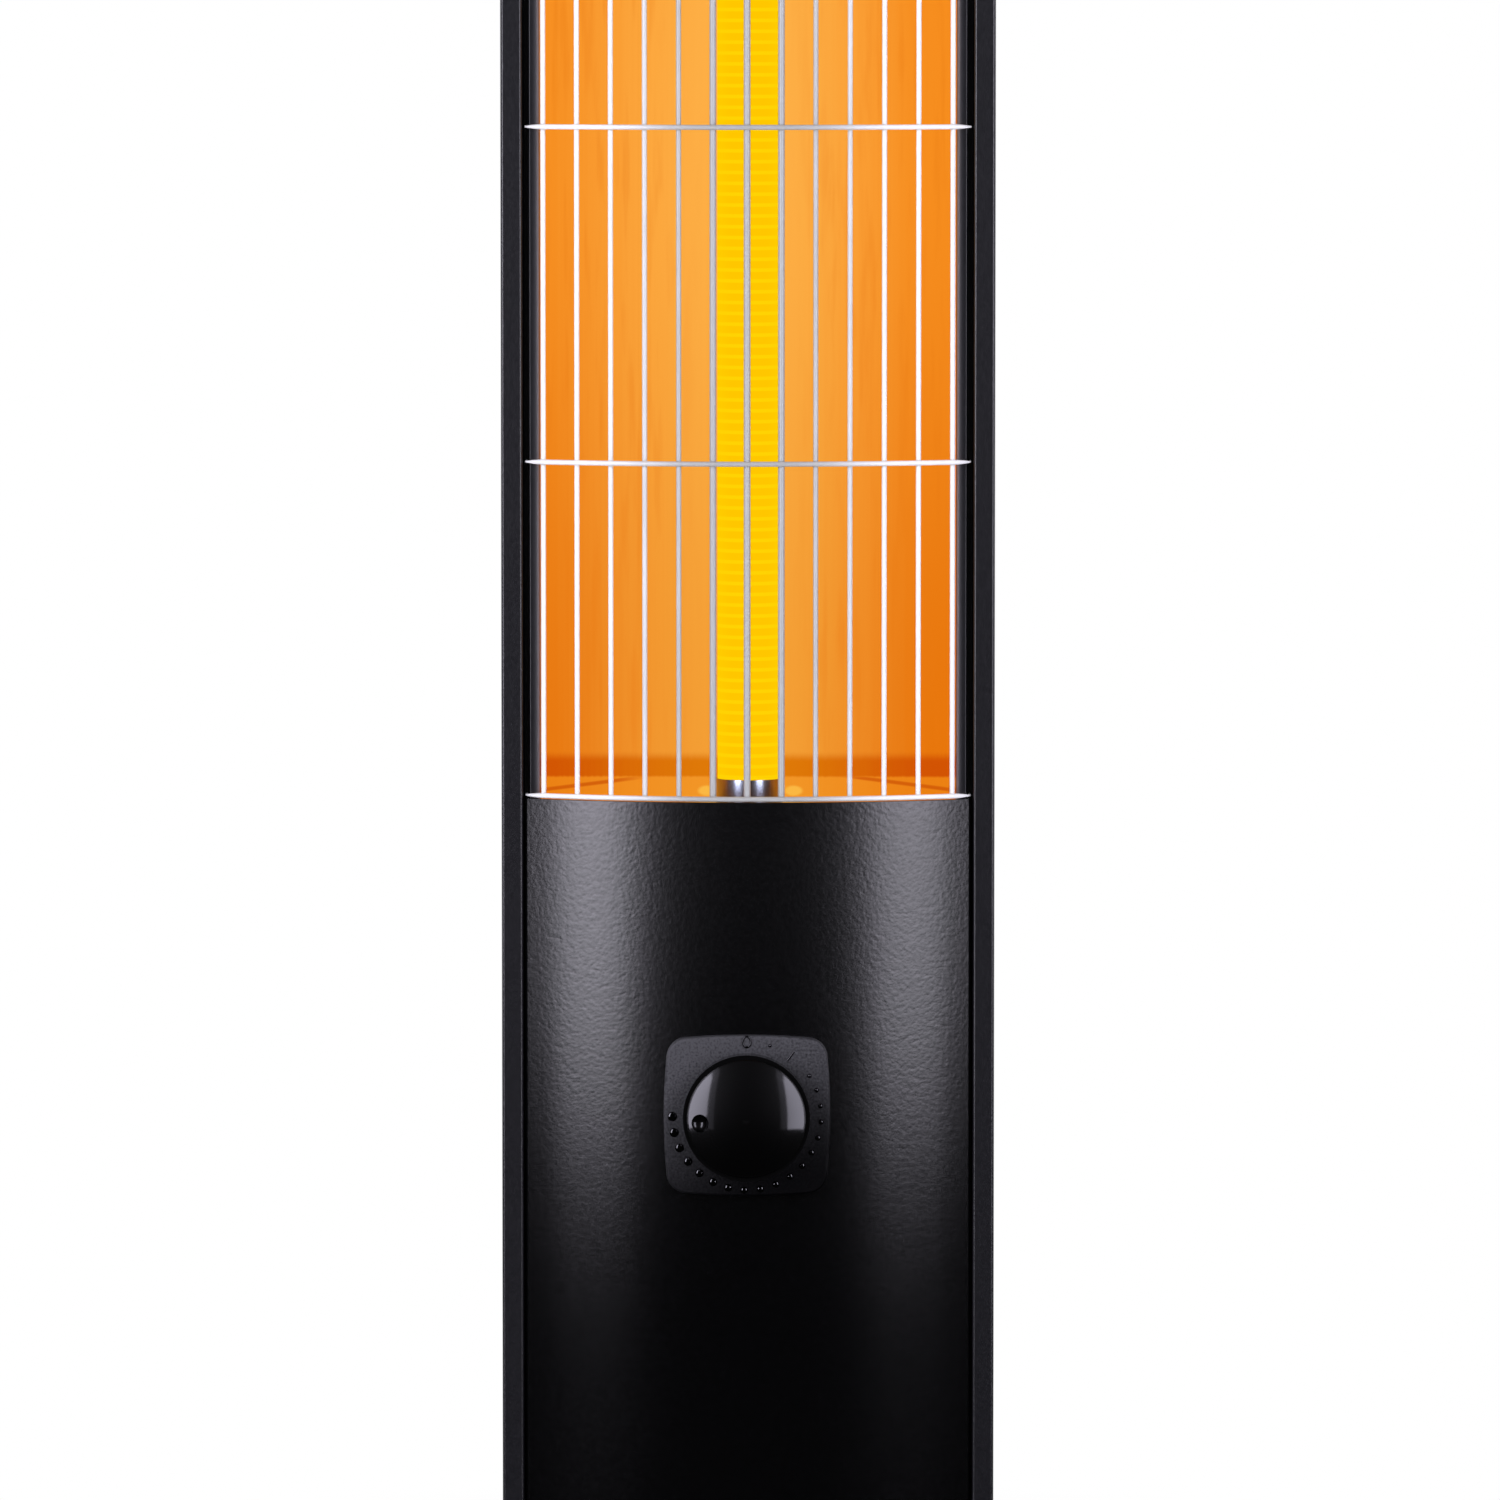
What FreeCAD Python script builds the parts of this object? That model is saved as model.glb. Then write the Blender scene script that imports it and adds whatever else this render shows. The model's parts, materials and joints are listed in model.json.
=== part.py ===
"""Tower heater: a glowing quartz tube in a tall reflector behind a wire guard, with one heat knob.

The origin is on the floor under the middle of the base, +Z is up and the front faces -Y.
"""
import FreeCAD, Part
import math
import os
import re

import Sketcher
from FreeCAD import Placement, Rotation, Vector

os.makedirs("parts", exist_ok=True)
doc = FreeCAD.newDocument("TowerHeater")
sheet = doc.addObject("Spreadsheet::Sheet", "Sizes")

# Driving sizes in millimetres, with a few counts and angles in degrees
SIZES = {
    # extruded casing
    "tower_width": 191.4,
    "case_depth": 78,
    "case_wall": 1.8,
    "case_corner_radius": 1.2,
    "rail_width": 8.4,
    "rail_depth": 15,
    "rail_edge_radius": 1.2,
    "groove_width": 2.6,
    "groove_depth": 10,
    "lip_width": 4.2,
    "lip_edge_radius": 0.4,
    "lip_nose_radius": 2,
    "port_boss": 8,
    "port_diameter": 3.6,
    # curved front covers
    "front_bulge": 20,
    "lower_cover_height": 310,
    "upper_cover_height": 58,
    "cover_sheet": 1.2,
    "cover_gap": 1.2,
    "cover_tongue": 7,
    "cover_edge_radius": 0.9,
    # caps and base
    "top_cap_height": 12,
    "cap_wall": 2.4,
    "cap_edge_radius": 3,
    "cap_peg": 10,
    "bottom_cap_thickness": 2,
    "base_width": 300,
    "base_depth": 280,
    "base_height": 15,
    "base_wall": 2,
    "base_corner_radius": 40,
    "base_edge_radius": 4,
    "foot_reveal": 3,
    "foot_diameter": 26,
    "foot_inset": 34,
    "foot_stem_diameter": 8,
    # screws
    "screw_diameter": 3.4,
    "screw_head_diameter": 6.4,
    "screw_head_height": 2.2,
    "screw_clearance": 0.2,
    "base_screw_grip": 14,
    "flange_screw_grip": 6,
    # vents in the back
    "vent_width": 110,
    "vent_slot_height": 4,
    "vent_pitch": 9,
    "lower_vent_rise": 180,
    "lower_vent_count": 7,
    "upper_vent_drop": 30,
    "upper_vent_count": 3,
    # wire guard
    "wire_diameter": 2,
    "wire_margin": 1.3,
    "wire_count": 13,
    "bay_height": 129.5,
    "bay_count": 6,
    "wire_end_gap": 0.2,
    "upright_cut": 0.5,
    "wire_elbow_radius": 2.6,
    "weld_sink": 0.5,
    # reflector and its end plates
    "reflector_sheet": 0.5,
    "reflector_depth": 56,
    "reflector_side": 16,
    "end_plate_sheet": 1,
    "end_plate_flange": 14,
    "floor_drop": 4,
    "flange_screw_x": 50,
    "lead_hole_diameter": 7,
    "lead_x": 60,
    "lead_y": 34,
    # quartz tube and its ends
    "tube_diameter": 24.6,
    "tube_wall": 1.5,
    "tube_setback": 26,
    "ferrule_wall": 0.6,
    "ferrule_show": 10,
    "socket_diameter": 46,
    "socket_height": 18,
    "socket_floor": 4,
    "socket_screw_radius": 18,
    "pin_diameter": 4,
    "pin_reach": 8,
    "pin_head_height": 2,
    "coil_diameter": 18.4,
    "coil_wire": 2,
    "coil_turns": 90,
    # dial, knob and heat regulator
    "dial_drop": 121.1,
    "dial_width": 64.4,
    "dial_height": 62.4,
    "dial_thickness": 5,
    "dial_crown": 1.8,
    "dial_corner_radius": 8,
    "dial_edge_radius": 1,
    "dial_floor": 2,
    "dial_recess_diameter": 24,
    "knob_diameter": 49,
    "knob_height": 14,
    "knob_skirt": 8,
    "knob_cap_diameter": 45.8,
    "knob_dome": 4.4,
    "knob_edge_radius": 0.6,
    "knob_wall": 3,
    "knob_face": 4.2,
    "knob_gap": 0.6,
    "knob_hub_diameter": 14,
    "pointer_diameter": 7,
    "pointer_depth": 2,
    "pointer_radius": 18.5,
    "pointer_angle": 265,
    "shaft_diameter": 6,
    "shaft_flat": 1.2,
    "shaft_in_knob": 8,
    "shaft_in_body": 12,
    "bush_diameter": 10,
    "nut_width": 15,
    "nut_thickness": 2.6,
    "regulator_width": 44,
    "regulator_height": 40,
    "regulator_depth": 26,
    "bracket_width": 76,
    "bracket_height": 46,
    "bracket_depth": 5,
    "bracket_sheet": 1.5,
    "bracket_foot": 6,
    "bracket_gap": 0.5,
    "tab_width": 6.3,
    "tab_sheet": 0.8,
    "tab_length": 8,
    "tab_spread": 12,
    # terminal block, gland, cut-out and leads
    "block_x": 40,
    "block_rise": 70,
    "block_width": 45,
    "block_depth": 16,
    "block_height": 22,
    "entry_pitch": 15,
    "entry_diameter": 4,
    "entry_depth": 8,
    "clamp_diameter": 4.6,
    "clamp_depth": 4,
    "clamp_recess": 1,
    "gland_rise": 40,
    "gland_diameter": 14.6,
    "gland_flange_diameter": 22,
    "gland_flange": 4,
    "gland_length": 10,
    "gland_bore": 8,
    "gland_nut_width": 20,
    "gland_nut_thickness": 5,
    "cutout_x": 45,
    "cutout_y": 20,
    "cutout_diameter": 17,
    "cutout_height": 9,
    "cutout_spread": 4,
    "cutout_neck_share": 0.8,
    "lead_diameter": 3.2,
    "lead_bend": 26,
    # tip-over switch
    "tip_x": 45,
    "tip_y": 10,
    "tip_width": 24,
    "tip_depth": 20,
    "tip_wall": 3,
    "tip_bore": 11,
    "tip_travel": 6,
    "tip_spread": 5,
    "plunger_diameter": 6,
    "plunger_collar_diameter": 10,
    "plunger_collar": 2,
    "spring_length": 12,
    "spring_diameter": 7.4,
    "spring_wire": 0.9,
    "spring_turns": 4,
    # clearances
    "fit_gap": 0.3,
    "seat_gap": 0.1,
    "running_gap": 0.06,
    "plunger_gap": 0.6,
    "overrun": 1,
}

# Places worked out from the sizes
PLACES = {
    "half_width": "tower_width / 2",
    "back_y": "(case_depth + front_bulge) / 2",
    "rail_y": "back_y - case_depth",
    "nose_y": "rail_y - front_bulge",
    "inner_x": "half_width - case_wall",
    "inner_back_y": "back_y - case_wall",
    "groove_x": "half_width - rail_width - groove_width",
    "lip_x": "groove_x - lip_width",
    "cover_half": "half_width - rail_width - cover_gap",
    "cover_inner": "cover_half - cover_sheet",
    "cover_radius": "(cover_half ^ 2 + front_bulge ^ 2) / (2 * front_bulge)",
    "cover_axis_y": "nose_y + cover_radius",
    "cover_inner_radius": "cover_radius - cover_sheet",
    "cover_inner_y": "cover_axis_y - sqrt(cover_inner_radius ^ 2 - cover_inner ^ 2)",
    "cap_radius": "(half_width ^ 2 + front_bulge ^ 2) / (2 * front_bulge)",
    "base_top_z": "foot_reveal + base_height",
    "case_bottom_z": "base_top_z + bottom_cap_thickness",
    "window_bottom_z": "case_bottom_z + lower_cover_height",
    "guard_height": "bay_height * bay_count",
    "window_top_z": "window_bottom_z + guard_height + wire_diameter + 2 * wire_end_gap",
    "case_top_z": "window_top_z + upper_cover_height",
    "first_wire_z": "window_bottom_z + wire_end_gap + wire_diameter / 2",
    "port_x": "half_width - rail_width / 2",
    "port_front_y": "rail_y + rail_depth / 2",
    "port_back_x": "inner_x - port_boss / 2",
    "port_back_y": "inner_back_y - port_boss / 2",
    "lower_vent_z": "case_bottom_z + lower_vent_rise",
    "upper_vent_z": "case_top_z - upper_vent_drop",
    "wire_pitch": "2 * (lip_x - wire_margin) / (wire_count - 1)",
    "leg_x": "half_width - rail_width - groove_width / 2",
    "leg_y": "rail_y + groove_depth - wire_end_gap",
    "guard_radius": "cover_radius - wire_diameter / 2",
    "elbow_reach": "guard_radius - wire_elbow_radius",
    "elbow_rise": "sqrt(elbow_reach ^ 2 - (leg_x - wire_elbow_radius) ^ 2)",
    "elbow_y": "cover_axis_y - elbow_rise",
    "lip_y": "elbow_y + fit_gap",
    "bow_x": "guard_radius * (leg_x - wire_elbow_radius) / elbow_reach",
    "bow_y": "cover_axis_y - guard_radius * elbow_rise / elbow_reach",
    "upright_radius": "guard_radius - wire_diameter + weld_sink",
    "reflector_y": "lip_y + fit_gap",
    "reflector_back_y": "rail_y + reflector_depth",
    "reflector_bend_y": "rail_y + reflector_side",
    "reflector_bow": "reflector_depth - reflector_side",
    "reflector_radius": "(lip_x ^ 2 + reflector_bow ^ 2) / (2 * reflector_bow)",
    "reflector_axis_y": "reflector_back_y - reflector_radius",
    "reflector_inner": "lip_x - reflector_sheet",
    "reflector_inner_radius": "reflector_radius - reflector_sheet",
    "reflector_inner_y": "reflector_axis_y + sqrt(reflector_inner_radius ^ 2 - reflector_inner ^ 2)",
    "plate_x": "inner_x - fit_gap",
    "plate_neck_x": "lip_x - fit_gap",
    "plate_radius": "cover_inner_radius - fit_gap",
    "plate_nose_y": "cover_axis_y - sqrt(plate_radius ^ 2 - plate_neck_x ^ 2)",
    "flange_x": "inner_x - port_boss - fit_gap",
    "floor_z": "window_bottom_z - floor_drop",
    "ceiling_z": "window_top_z + floor_drop",
    "tube_y": "rail_y + tube_setback",
    "ferrule_diameter": "tube_diameter + 2 * ferrule_wall + 2 * seat_gap",
    "ferrule_end": "end_plate_sheet + socket_height - socket_floor",
    "pin_seat": "ferrule_end - ferrule_wall",
    "pin_face": "pin_seat - pin_head_height",
    "pin_tip": "end_plate_sheet + socket_height + pin_reach",
    "dial_z": "window_bottom_z - dial_drop",
    "dial_front_y": "nose_y - dial_thickness",
    "dial_half_x": "dial_width / 2 - dial_crown",
    "dial_half_y": "dial_height / 2 - dial_crown",
    "dial_reach": "cover_radius - sqrt(cover_radius ^ 2 - dial_width ^ 2 / 4)",
    "nut_front": "dial_floor + nut_thickness",
    "knob_y": "dial_front_y - knob_gap",
    "knob_face_radius": "knob_cap_diameter / 2 - knob_edge_radius",
    "knob_dome_radius": "(knob_face_radius ^ 2 + knob_dome ^ 2) / (2 * knob_dome)",
    "knob_shoulder": "knob_height - knob_dome",
    "pointer_ball": "(pointer_diameter ^ 2 / 4 + pointer_depth ^ 2) / (2 * pointer_depth)",
    "pointer_rise": "knob_height - knob_dome_radius + sqrt(knob_dome_radius ^ 2 - pointer_radius ^ 2)",
    "bracket_back_y": "nose_y + cover_sheet + bracket_depth",
    "tab_tip_y": "bracket_back_y + regulator_depth + tab_length",
    "gland_z": "case_bottom_z + gland_rise",
    "block_z": "gland_z + block_rise",
    "block_top_z": "block_z + block_height / 2",
    "entry_y": "inner_back_y - block_depth / 2",
    "cutout_z": "floor_z - end_plate_sheet - cutout_height",
    "collar_z": "case_bottom_z + tip_wall + tip_travel + fit_gap",
    "spring_z": "collar_z + plunger_collar",
    "tip_ceiling_z": "spring_z + spring_length",
    "tip_top_z": "tip_ceiling_z + tip_wall",
}

for row, (alias, number) in enumerate(SIZES.items(), start=1):
    sheet.set(f"A{row}", alias)
    sheet.set(f"B{row}", str(number))
    sheet.setAlias(f"B{row}", alias)
doc.recompute()

FRONTWARDS = Rotation(Vector(1, 0, 0), 90)
BACKWARDS = Rotation(Vector(1, 0, 0), -90)
UPSIDE_DOWN = Rotation(Vector(1, 0, 0), 180)
UPRIGHT = Rotation()
ROUNDING_SHARE = 1e-6
BEND_SHARE = 0.45
nodes = []


def formula(text):
    """Expression text in which sizes carry the sheet's name and worked-out places are spelt out."""

    def spell(match):
        word = match.group(0)
        if word in PLACES:
            return f"({formula(PLACES[word])})"
        return f"Sizes.{word}" if word in SIZES else word

    return re.sub(r"[a-z][a-z_]*", spell, str(text))


def value(text):
    """The number that a formula gives now."""
    found = sheet.evalExpression(formula(text))
    return float(getattr(found, "Value", found))


def point(place):
    """A vector from three formulas."""
    return Vector(*[value(text) for text in place])


def bind(item, **formulas):
    """Tie an object's properties to formulas."""
    for name, text in formulas.items():
        item.setExpression(name, formula(text))


def place(item, at, turn=UPRIGHT):
    """Set an object's place from three formulas and a fixed turn."""
    item.Placement = Placement(point(at), turn)
    for axis, text in zip("xyz", at):
        item.setExpression(f"Placement.Base.{axis}", formula(text))


def node(item, label):
    """Name an object as one sub-part of the heater."""
    item.Label = label
    nodes.append(item)
    return item


def new_body(label=None, at=None, turn=UPRIGHT):
    """An empty body, listed as a sub-part when it has a label."""
    body = doc.addObject("PartDesign::Body", "Body")
    body.AllowCompound = True
    if at:
        place(body, at, turn)
    return node(body, label) if label else body


def sketch_on(body, role="XY_Plane", lift="0"):
    """A sketch on one of the body's origin planes, lifted along the plane's normal."""
    plane = next(item for item in body.Origin.OriginFeatures if item.Role == role)
    sketch = body.newObject("Sketcher::SketchObject", "Sketch")
    sketch.AttachmentSupport = [(plane, "")]
    sketch.MapMode = "FlatFace"
    sketch.setExpression("AttachmentOffset.Base.z", formula(lift))
    return sketch


def arc_between(start, finish, radius, side):
    """The lesser arc from start to finish with its centre to the left (1) or right (-1) of the way."""
    chord = finish - start
    reach = math.sqrt(radius ** 2 - (chord.Length / 2) ** 2)
    leftwards = Vector(-chord.y, chord.x, 0).normalize()
    centre = (start + finish) / 2 + leftwards * reach * side
    first, last = (start, finish) if side > 0 else (finish, start)
    angles = [math.atan2(spot.y - centre.y, spot.x - centre.x) for spot in (first, last)]
    return Part.ArcOfCircle(Part.Circle(centre, Vector(0, 0, 1), radius), *angles)


def outline(sketch, corners, closed=True):
    """Lines and arcs through corners, each held by formulas.

    A corner is (x, y), or (x, y, radius, side) where the stretch to the next corner is an arc.
    """
    spots = [Vector(value(corner[0]), value(corner[1]), 0) for corner in corners]
    count = len(corners)
    stretches = count if closed else count - 1
    first = sketch.GeometryCount
    shapes = []
    ends = []
    for index in range(stretches):
        start = spots[index]
        finish = spots[(index + 1) % count]
        if len(corners[index]) == 2:
            shapes.append(Part.LineSegment(start, finish))
            ends.append((1, 2))
        else:
            radius, side = corners[index][2:]
            shapes.append(arc_between(start, finish, value(radius), side))
            ends.append((1, 2) if side > 0 else (2, 1))
    sketch.addGeometry(shapes)

    rules = []
    texts = {}

    def hold(kind, text, *where):
        texts[sketch.ConstraintCount + len(rules)] = text
        rules.append(Sketcher.Constraint(kind, *where, value(text)))

    for index in range(count):
        if index < stretches:
            spot = (first + index, ends[index][0])
        else:
            spot = (first + index - 1, ends[index - 1][1])
        if 0 < index < stretches or (closed and index == 0):
            before = (index - 1) % count
            rules.append(Sketcher.Constraint("Coincident", first + before, ends[before][1], *spot))
        hold("DistanceX", corners[index][0], *spot)
        hold("DistanceY", corners[index][1], *spot)
        if len(corners[index]) > 2:
            hold("Radius", corners[index][2], first + index)
    sketch.addConstraint(rules)
    for number, text in texts.items():
        sketch.setExpression(f"Constraints[{number}]", formula(text))
    return sketch


def circles(sketch, spots, diameter):
    """Circles of one diameter at spots (x, y), each held by formulas."""
    for x, y in spots:
        centre = Vector(value(x), value(y), 0)
        ring = sketch.addGeometry(Part.Circle(centre, Vector(0, 0, 1), value(diameter) / 2))
        held = (("DistanceX", x, (ring, 3)), ("DistanceY", y, (ring, 3)), ("Diameter", diameter, (ring,)))
        for kind, text, where in held:
            rule = sketch.addConstraint(Sketcher.Constraint(kind, *where, value(text)))
            sketch.setExpression(f"Constraints[{rule}]", formula(text))
    return sketch


def mirrored(corners, joining=(), closing=()):
    """Right-hand corners and their left-hand twins, with arcs where the two halves meet if given."""
    left = [(f"-({x})", y) for x, y in reversed(corners)]
    return corners[:-1] + [corners[-1] + joining] + left[:-1] + [left[-1] + closing]


def rectangle(half_x, half_y, x="0", y="0"):
    """Corners of a rectangle about (x, y)."""
    signs = ((1, -1), (1, 1), (-1, 1), (-1, -1))
    return [(f"{x} + {right} * ({half_x})", f"{y} + {up} * ({half_y})") for right, up in signs]


def rounded_rectangle(half_x, half_y, radius):
    """Corners of a rectangle with round corners about the origin."""
    near_x = f"({half_x} - {radius})"
    near_y = f"({half_y} - {radius})"
    return [
        (half_x, f"-{near_y}"), (half_x, near_y, radius, 1),
        (near_x, half_y), (f"-{near_x}", half_y, radius, 1),
        (f"-({half_x})", near_y), (f"-({half_x})", f"-{near_y}", radius, 1),
        (f"-{near_x}", f"-({half_y})"), (near_x, f"-({half_y})", radius, 1),
    ]


def pad(body, sketch, length, backwards=False):
    """Raise a sketch into a solid."""
    feature = body.newObject("PartDesign::Pad", "Pad")
    feature.Profile = sketch
    feature.Reversed = backwards
    bind(feature, Length=length)
    return feature


def pocket(body, sketch, depth, forwards=False):
    """Cut a sketch out of a body, against the sketch's normal unless it is told forwards."""
    doc.recompute()
    before = body.Shape.Volume
    feature = body.newObject("PartDesign::Pocket", "Pocket")
    feature.Profile = sketch
    feature.Reversed = forwards
    bind(feature, Length=depth)
    doc.recompute()
    if not body.Shape.Volume < before:
        raise ValueError(f"a pocket of {body.Label} cuts nothing")
    return feature


def rows(body, feature, axis_role, length, count):
    """Repeat a feature along one of the body's axes."""
    pattern = body.newObject("PartDesign::LinearPattern", "Rows")
    pattern.Originals = [feature]
    axis = next(item for item in body.Origin.OriginFeatures if item.Role == axis_role)
    pattern.Direction = (axis, [""])
    bind(pattern, Length=length, Occurrences=count)
    body.Tip = pattern
    return pattern


def round_edges(body, feature, chosen, radius):
    """Round the edges of a feature that a test picks."""
    doc.recompute()
    names = [f"Edge{index}" for index, edge in enumerate(feature.Shape.Edges, start=1) if chosen(edge)]
    fillet = body.newObject("PartDesign::Fillet", "Fillet")
    fillet.Base = (feature, names)
    bind(fillet, Radius=radius)
    return fillet


def same(one, other):
    """Whether two lengths agree but for rounding."""
    return math.isclose(one, other, rel_tol=ROUNDING_SHARE, abs_tol=ROUNDING_SHARE)


def upright_at(*spots):
    """A test for upright edges at any of the spots (x, y), left and right alike."""
    wanted = [(value(x), value(y)) for x, y in spots]

    def chosen(edge):
        low = edge.Vertexes[0].Point
        high = edge.Vertexes[-1].Point
        upright = same(low.x, high.x) and same(low.y, high.y) and not same(low.z, high.z)
        return upright and any(same(abs(low.x), x) and same(low.y, y) for x, y in wanted)

    return chosen


def level_at(height):
    """A test for edges that lie flat at a height."""
    wanted = value(height)
    return lambda edge: all(same(spot.Z, wanted) for spot in edge.Vertexes)


def turned(label, profile, at, turn=UPRIGHT):
    """A round piece: corners (radius, height) turned about its own upright axis."""
    body = new_body(label, at, turn)
    sketch = outline(sketch_on(body, "XZ_Plane"), profile)
    feature = body.newObject("PartDesign::Revolution", "Revolution")
    feature.Profile = sketch
    feature.ReferenceAxis = (sketch, ["V_Axis"])
    return body


def tube_profile(inner, outer, low, high):
    """Corners of a plain ring or, with an inner radius of zero, of a rod."""
    return [(inner, low), (outer, low), (outer, high), (inner, high)]


def block(size, at, label=None):
    """A box between its least corner and that corner plus its size."""
    item = doc.addObject("Part::Box", "Block")
    bind(item, Length=size[0], Width=size[1], Height=size[2])
    place(item, at)
    return node(item, label) if label else item


def rod(diameter, length, at, turn=UPRIGHT):
    """A cylinder that starts at a place and points up or along its turn."""
    item = doc.addObject("Part::Cylinder", "Rod")
    bind(item, Radius=f"({diameter}) / 2", Height=length)
    place(item, at, turn)
    return item


def cut(base, *tools, label=None):
    """A base with tools taken away."""
    item = base
    for tool in tools:
        before = item
        item = doc.addObject("Part::Cut", "Cut")
        item.Base = before
        item.Tool = tool
    return node(item, label) if label else item


def joined(kind, base, tool):
    """Two solids made one (Fuse), or what they share (Common)."""
    item = doc.addObject(f"Part::{kind}", kind)
    item.Base = base
    item.Tool = tool
    return item


def group(label, pieces):
    """Several like solids that share one sub-part."""
    item = doc.addObject("Part::Compound", "Group")
    item.Links = pieces
    return node(item, label)


def screws(label, role, seat, spots, grip, heads_forward):
    """Screws with heads on one side of their seat and shanks on the other."""
    body = new_body(label)
    heads = circles(sketch_on(body, role, seat), spots, "screw_head_diameter")
    pad(body, heads, "screw_head_height", not heads_forward)
    shanks = circles(sketch_on(body, role, seat), spots, "screw_diameter")
    pad(body, shanks, grip, heads_forward)
    return body


def smooth_path(points):
    """Straight runs joined by tangent arcs, as large as the runs leave room for."""
    edges = []
    radii = []
    here = points[0]
    for before, corner, after in zip(points, points[1:], points[2:]):
        inward = (before - corner).normalize()
        outward = (after - corner).normalize()
        half_turn = (math.pi - inward.getAngle(outward)) / 2
        back = BEND_SHARE * min((before - corner).Length, (after - corner).Length)
        radii.append(back / math.tan(half_turn))
        start = corner + inward * back
        finish = corner + outward * back
        towards = (inward + outward).normalize()
        top = corner + towards * (radii[-1] / math.cos(half_turn) - radii[-1])
        edges.append(Part.LineSegment(here, start).toShape())
        edges.append(Part.Arc(start, top, finish).toShape())
        here = finish
    edges.append(Part.LineSegment(here, points[-1]).toShape())
    return Part.Wire(edges), radii


def round_pipe(path, diameter, along):
    """A solid round wire swept along a path that sets out in a given direction."""
    start = path.OrderedVertexes[0].Point
    ring = Part.Wire([Part.Circle(start, along, diameter / 2).toShape()])
    return path.makePipeShell([ring], True, False)


def lead(label, route):
    """An insulated wire along a hand-laid route inside the casing."""
    points = [point(spot) for spot in route]
    path, radii = smooth_path(points)
    item = doc.addObject("Part::Feature", "Lead")
    item.Shape = round_pipe(path, value("lead_diameter"), points[1] - points[0])
    expected = path.Length * math.pi * value("lead_diameter") ** 2 / 4
    print(f"{label}: bend radii {[round(radius, 1) for radius in radii]}, "
          f"volume share {item.Shape.Volume / expected:.4f}")
    return node(item, label)


def biarc(start, start_way, finish, finish_way):
    """Two arcs that leave start and reach finish along the given directions."""
    gap = finish - start
    ways = start_way + finish_way
    square = ways.dot(ways) - 4
    reach = (gap.dot(ways) - math.sqrt(gap.dot(ways) ** 2 - square * gap.dot(gap))) / square
    near = start + start_way * reach
    far = finish - finish_way * reach
    joint = (near + far) / 2
    arcs = []
    for begin, corner, end in ((start, near, joint), (joint, far, finish)):
        middle = (begin + end) / 2
        half_chord = (end - begin).Length / 2
        rise = (corner - middle).Length
        radius = half_chord * reach / rise
        top = middle + (corner - middle) * (radius * (1 - half_chord / reach) / rise)
        arcs.append(Part.Arc(begin, top, end).toShape())
    return arcs


def winding(label, diameter, wire, turns, low, high, axis):
    """A wire wound about an upright axis, with straight ends square to the faces that it meets."""
    radius = diameter / 2
    end_rise = 3 * wire
    pitch = (high - low - 2 * end_rise) / turns
    steps = 4 * turns

    def spot(quarter):
        angle = quarter * math.pi / 2
        rise = low + end_rise + pitch * quarter / 4
        return Vector(axis.x + radius * math.cos(angle), axis.y + radius * math.sin(angle), rise)

    def way(quarter):
        angle = quarter * math.pi / 2
        slope = pitch / (2 * math.pi)
        return Vector(-radius * math.sin(angle), radius * math.cos(angle), slope).normalize()

    up = Vector(0, 0, 1)
    foot = Vector(spot(-1).x, spot(-1).y, low + wire)
    head = Vector(spot(steps + 1).x, spot(steps + 1).y, high - wire)
    edges = [Part.LineSegment(foot - up * wire, foot).toShape()]
    edges += biarc(foot, up, spot(0), way(0))
    for quarter in range(steps):
        edges += biarc(spot(quarter), way(quarter), spot(quarter + 1), way(quarter + 1))
    edges += biarc(spot(steps), way(steps), head, up)
    edges.append(Part.LineSegment(head, head + up * wire).toShape())
    path = Part.Wire(edges)
    item = doc.addObject("Part::Feature", "Winding")
    item.Shape = round_pipe(path, wire, up)

    marks = [mark for edge in edges for mark in edge.discretize(5)[:-1]]
    reach = int(len(marks) / (turns + 1) / 2)
    gap = min((one - other).Length for index, one in enumerate(marks)
              for other in marks[index + reach:index + 4 * reach]) - wire
    print(f"{label}: least gap to itself {gap:.2f} mm, "
          f"volume share {item.Shape.Volume / (path.Length * math.pi * wire ** 2 / 4):.4f}")
    return node(item, label)


def corner_ports():
    """The four screw ports of the casing, as spots (x, y)."""
    front = [(f"{side} * port_x", "port_front_y") for side in (1, -1)]
    return front + [(f"{side} * port_back_x", "port_back_y") for side in (1, -1)]


def flange_screw_spots(height):
    """The two screws through one end plate's flange, as spots (x, z)."""
    return [(f"{side} * flange_screw_x", height) for side in (1, -1)]


LOWER_FLANGE_Z = "floor_z - end_plate_flange / 2"
UPPER_FLANGE_Z = "ceiling_z + end_plate_flange / 2"


def vent_slot(height):
    """Corners of one round-ended vent slot at a height."""
    reach = "(vent_width / 2)"
    radius = "(vent_slot_height / 2)"
    return [
        (f"-{reach}", f"{height} - {radius}"), (reach, f"{height} - {radius}", radius, 1),
        (f"{reach} + {radius}", height, radius, 1), (reach, f"{height} + {radius}"),
        (f"-{reach}", f"{height} + {radius}", radius, 1), (f"-{reach} - {radius}", height, radius, 1),
    ]


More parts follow.
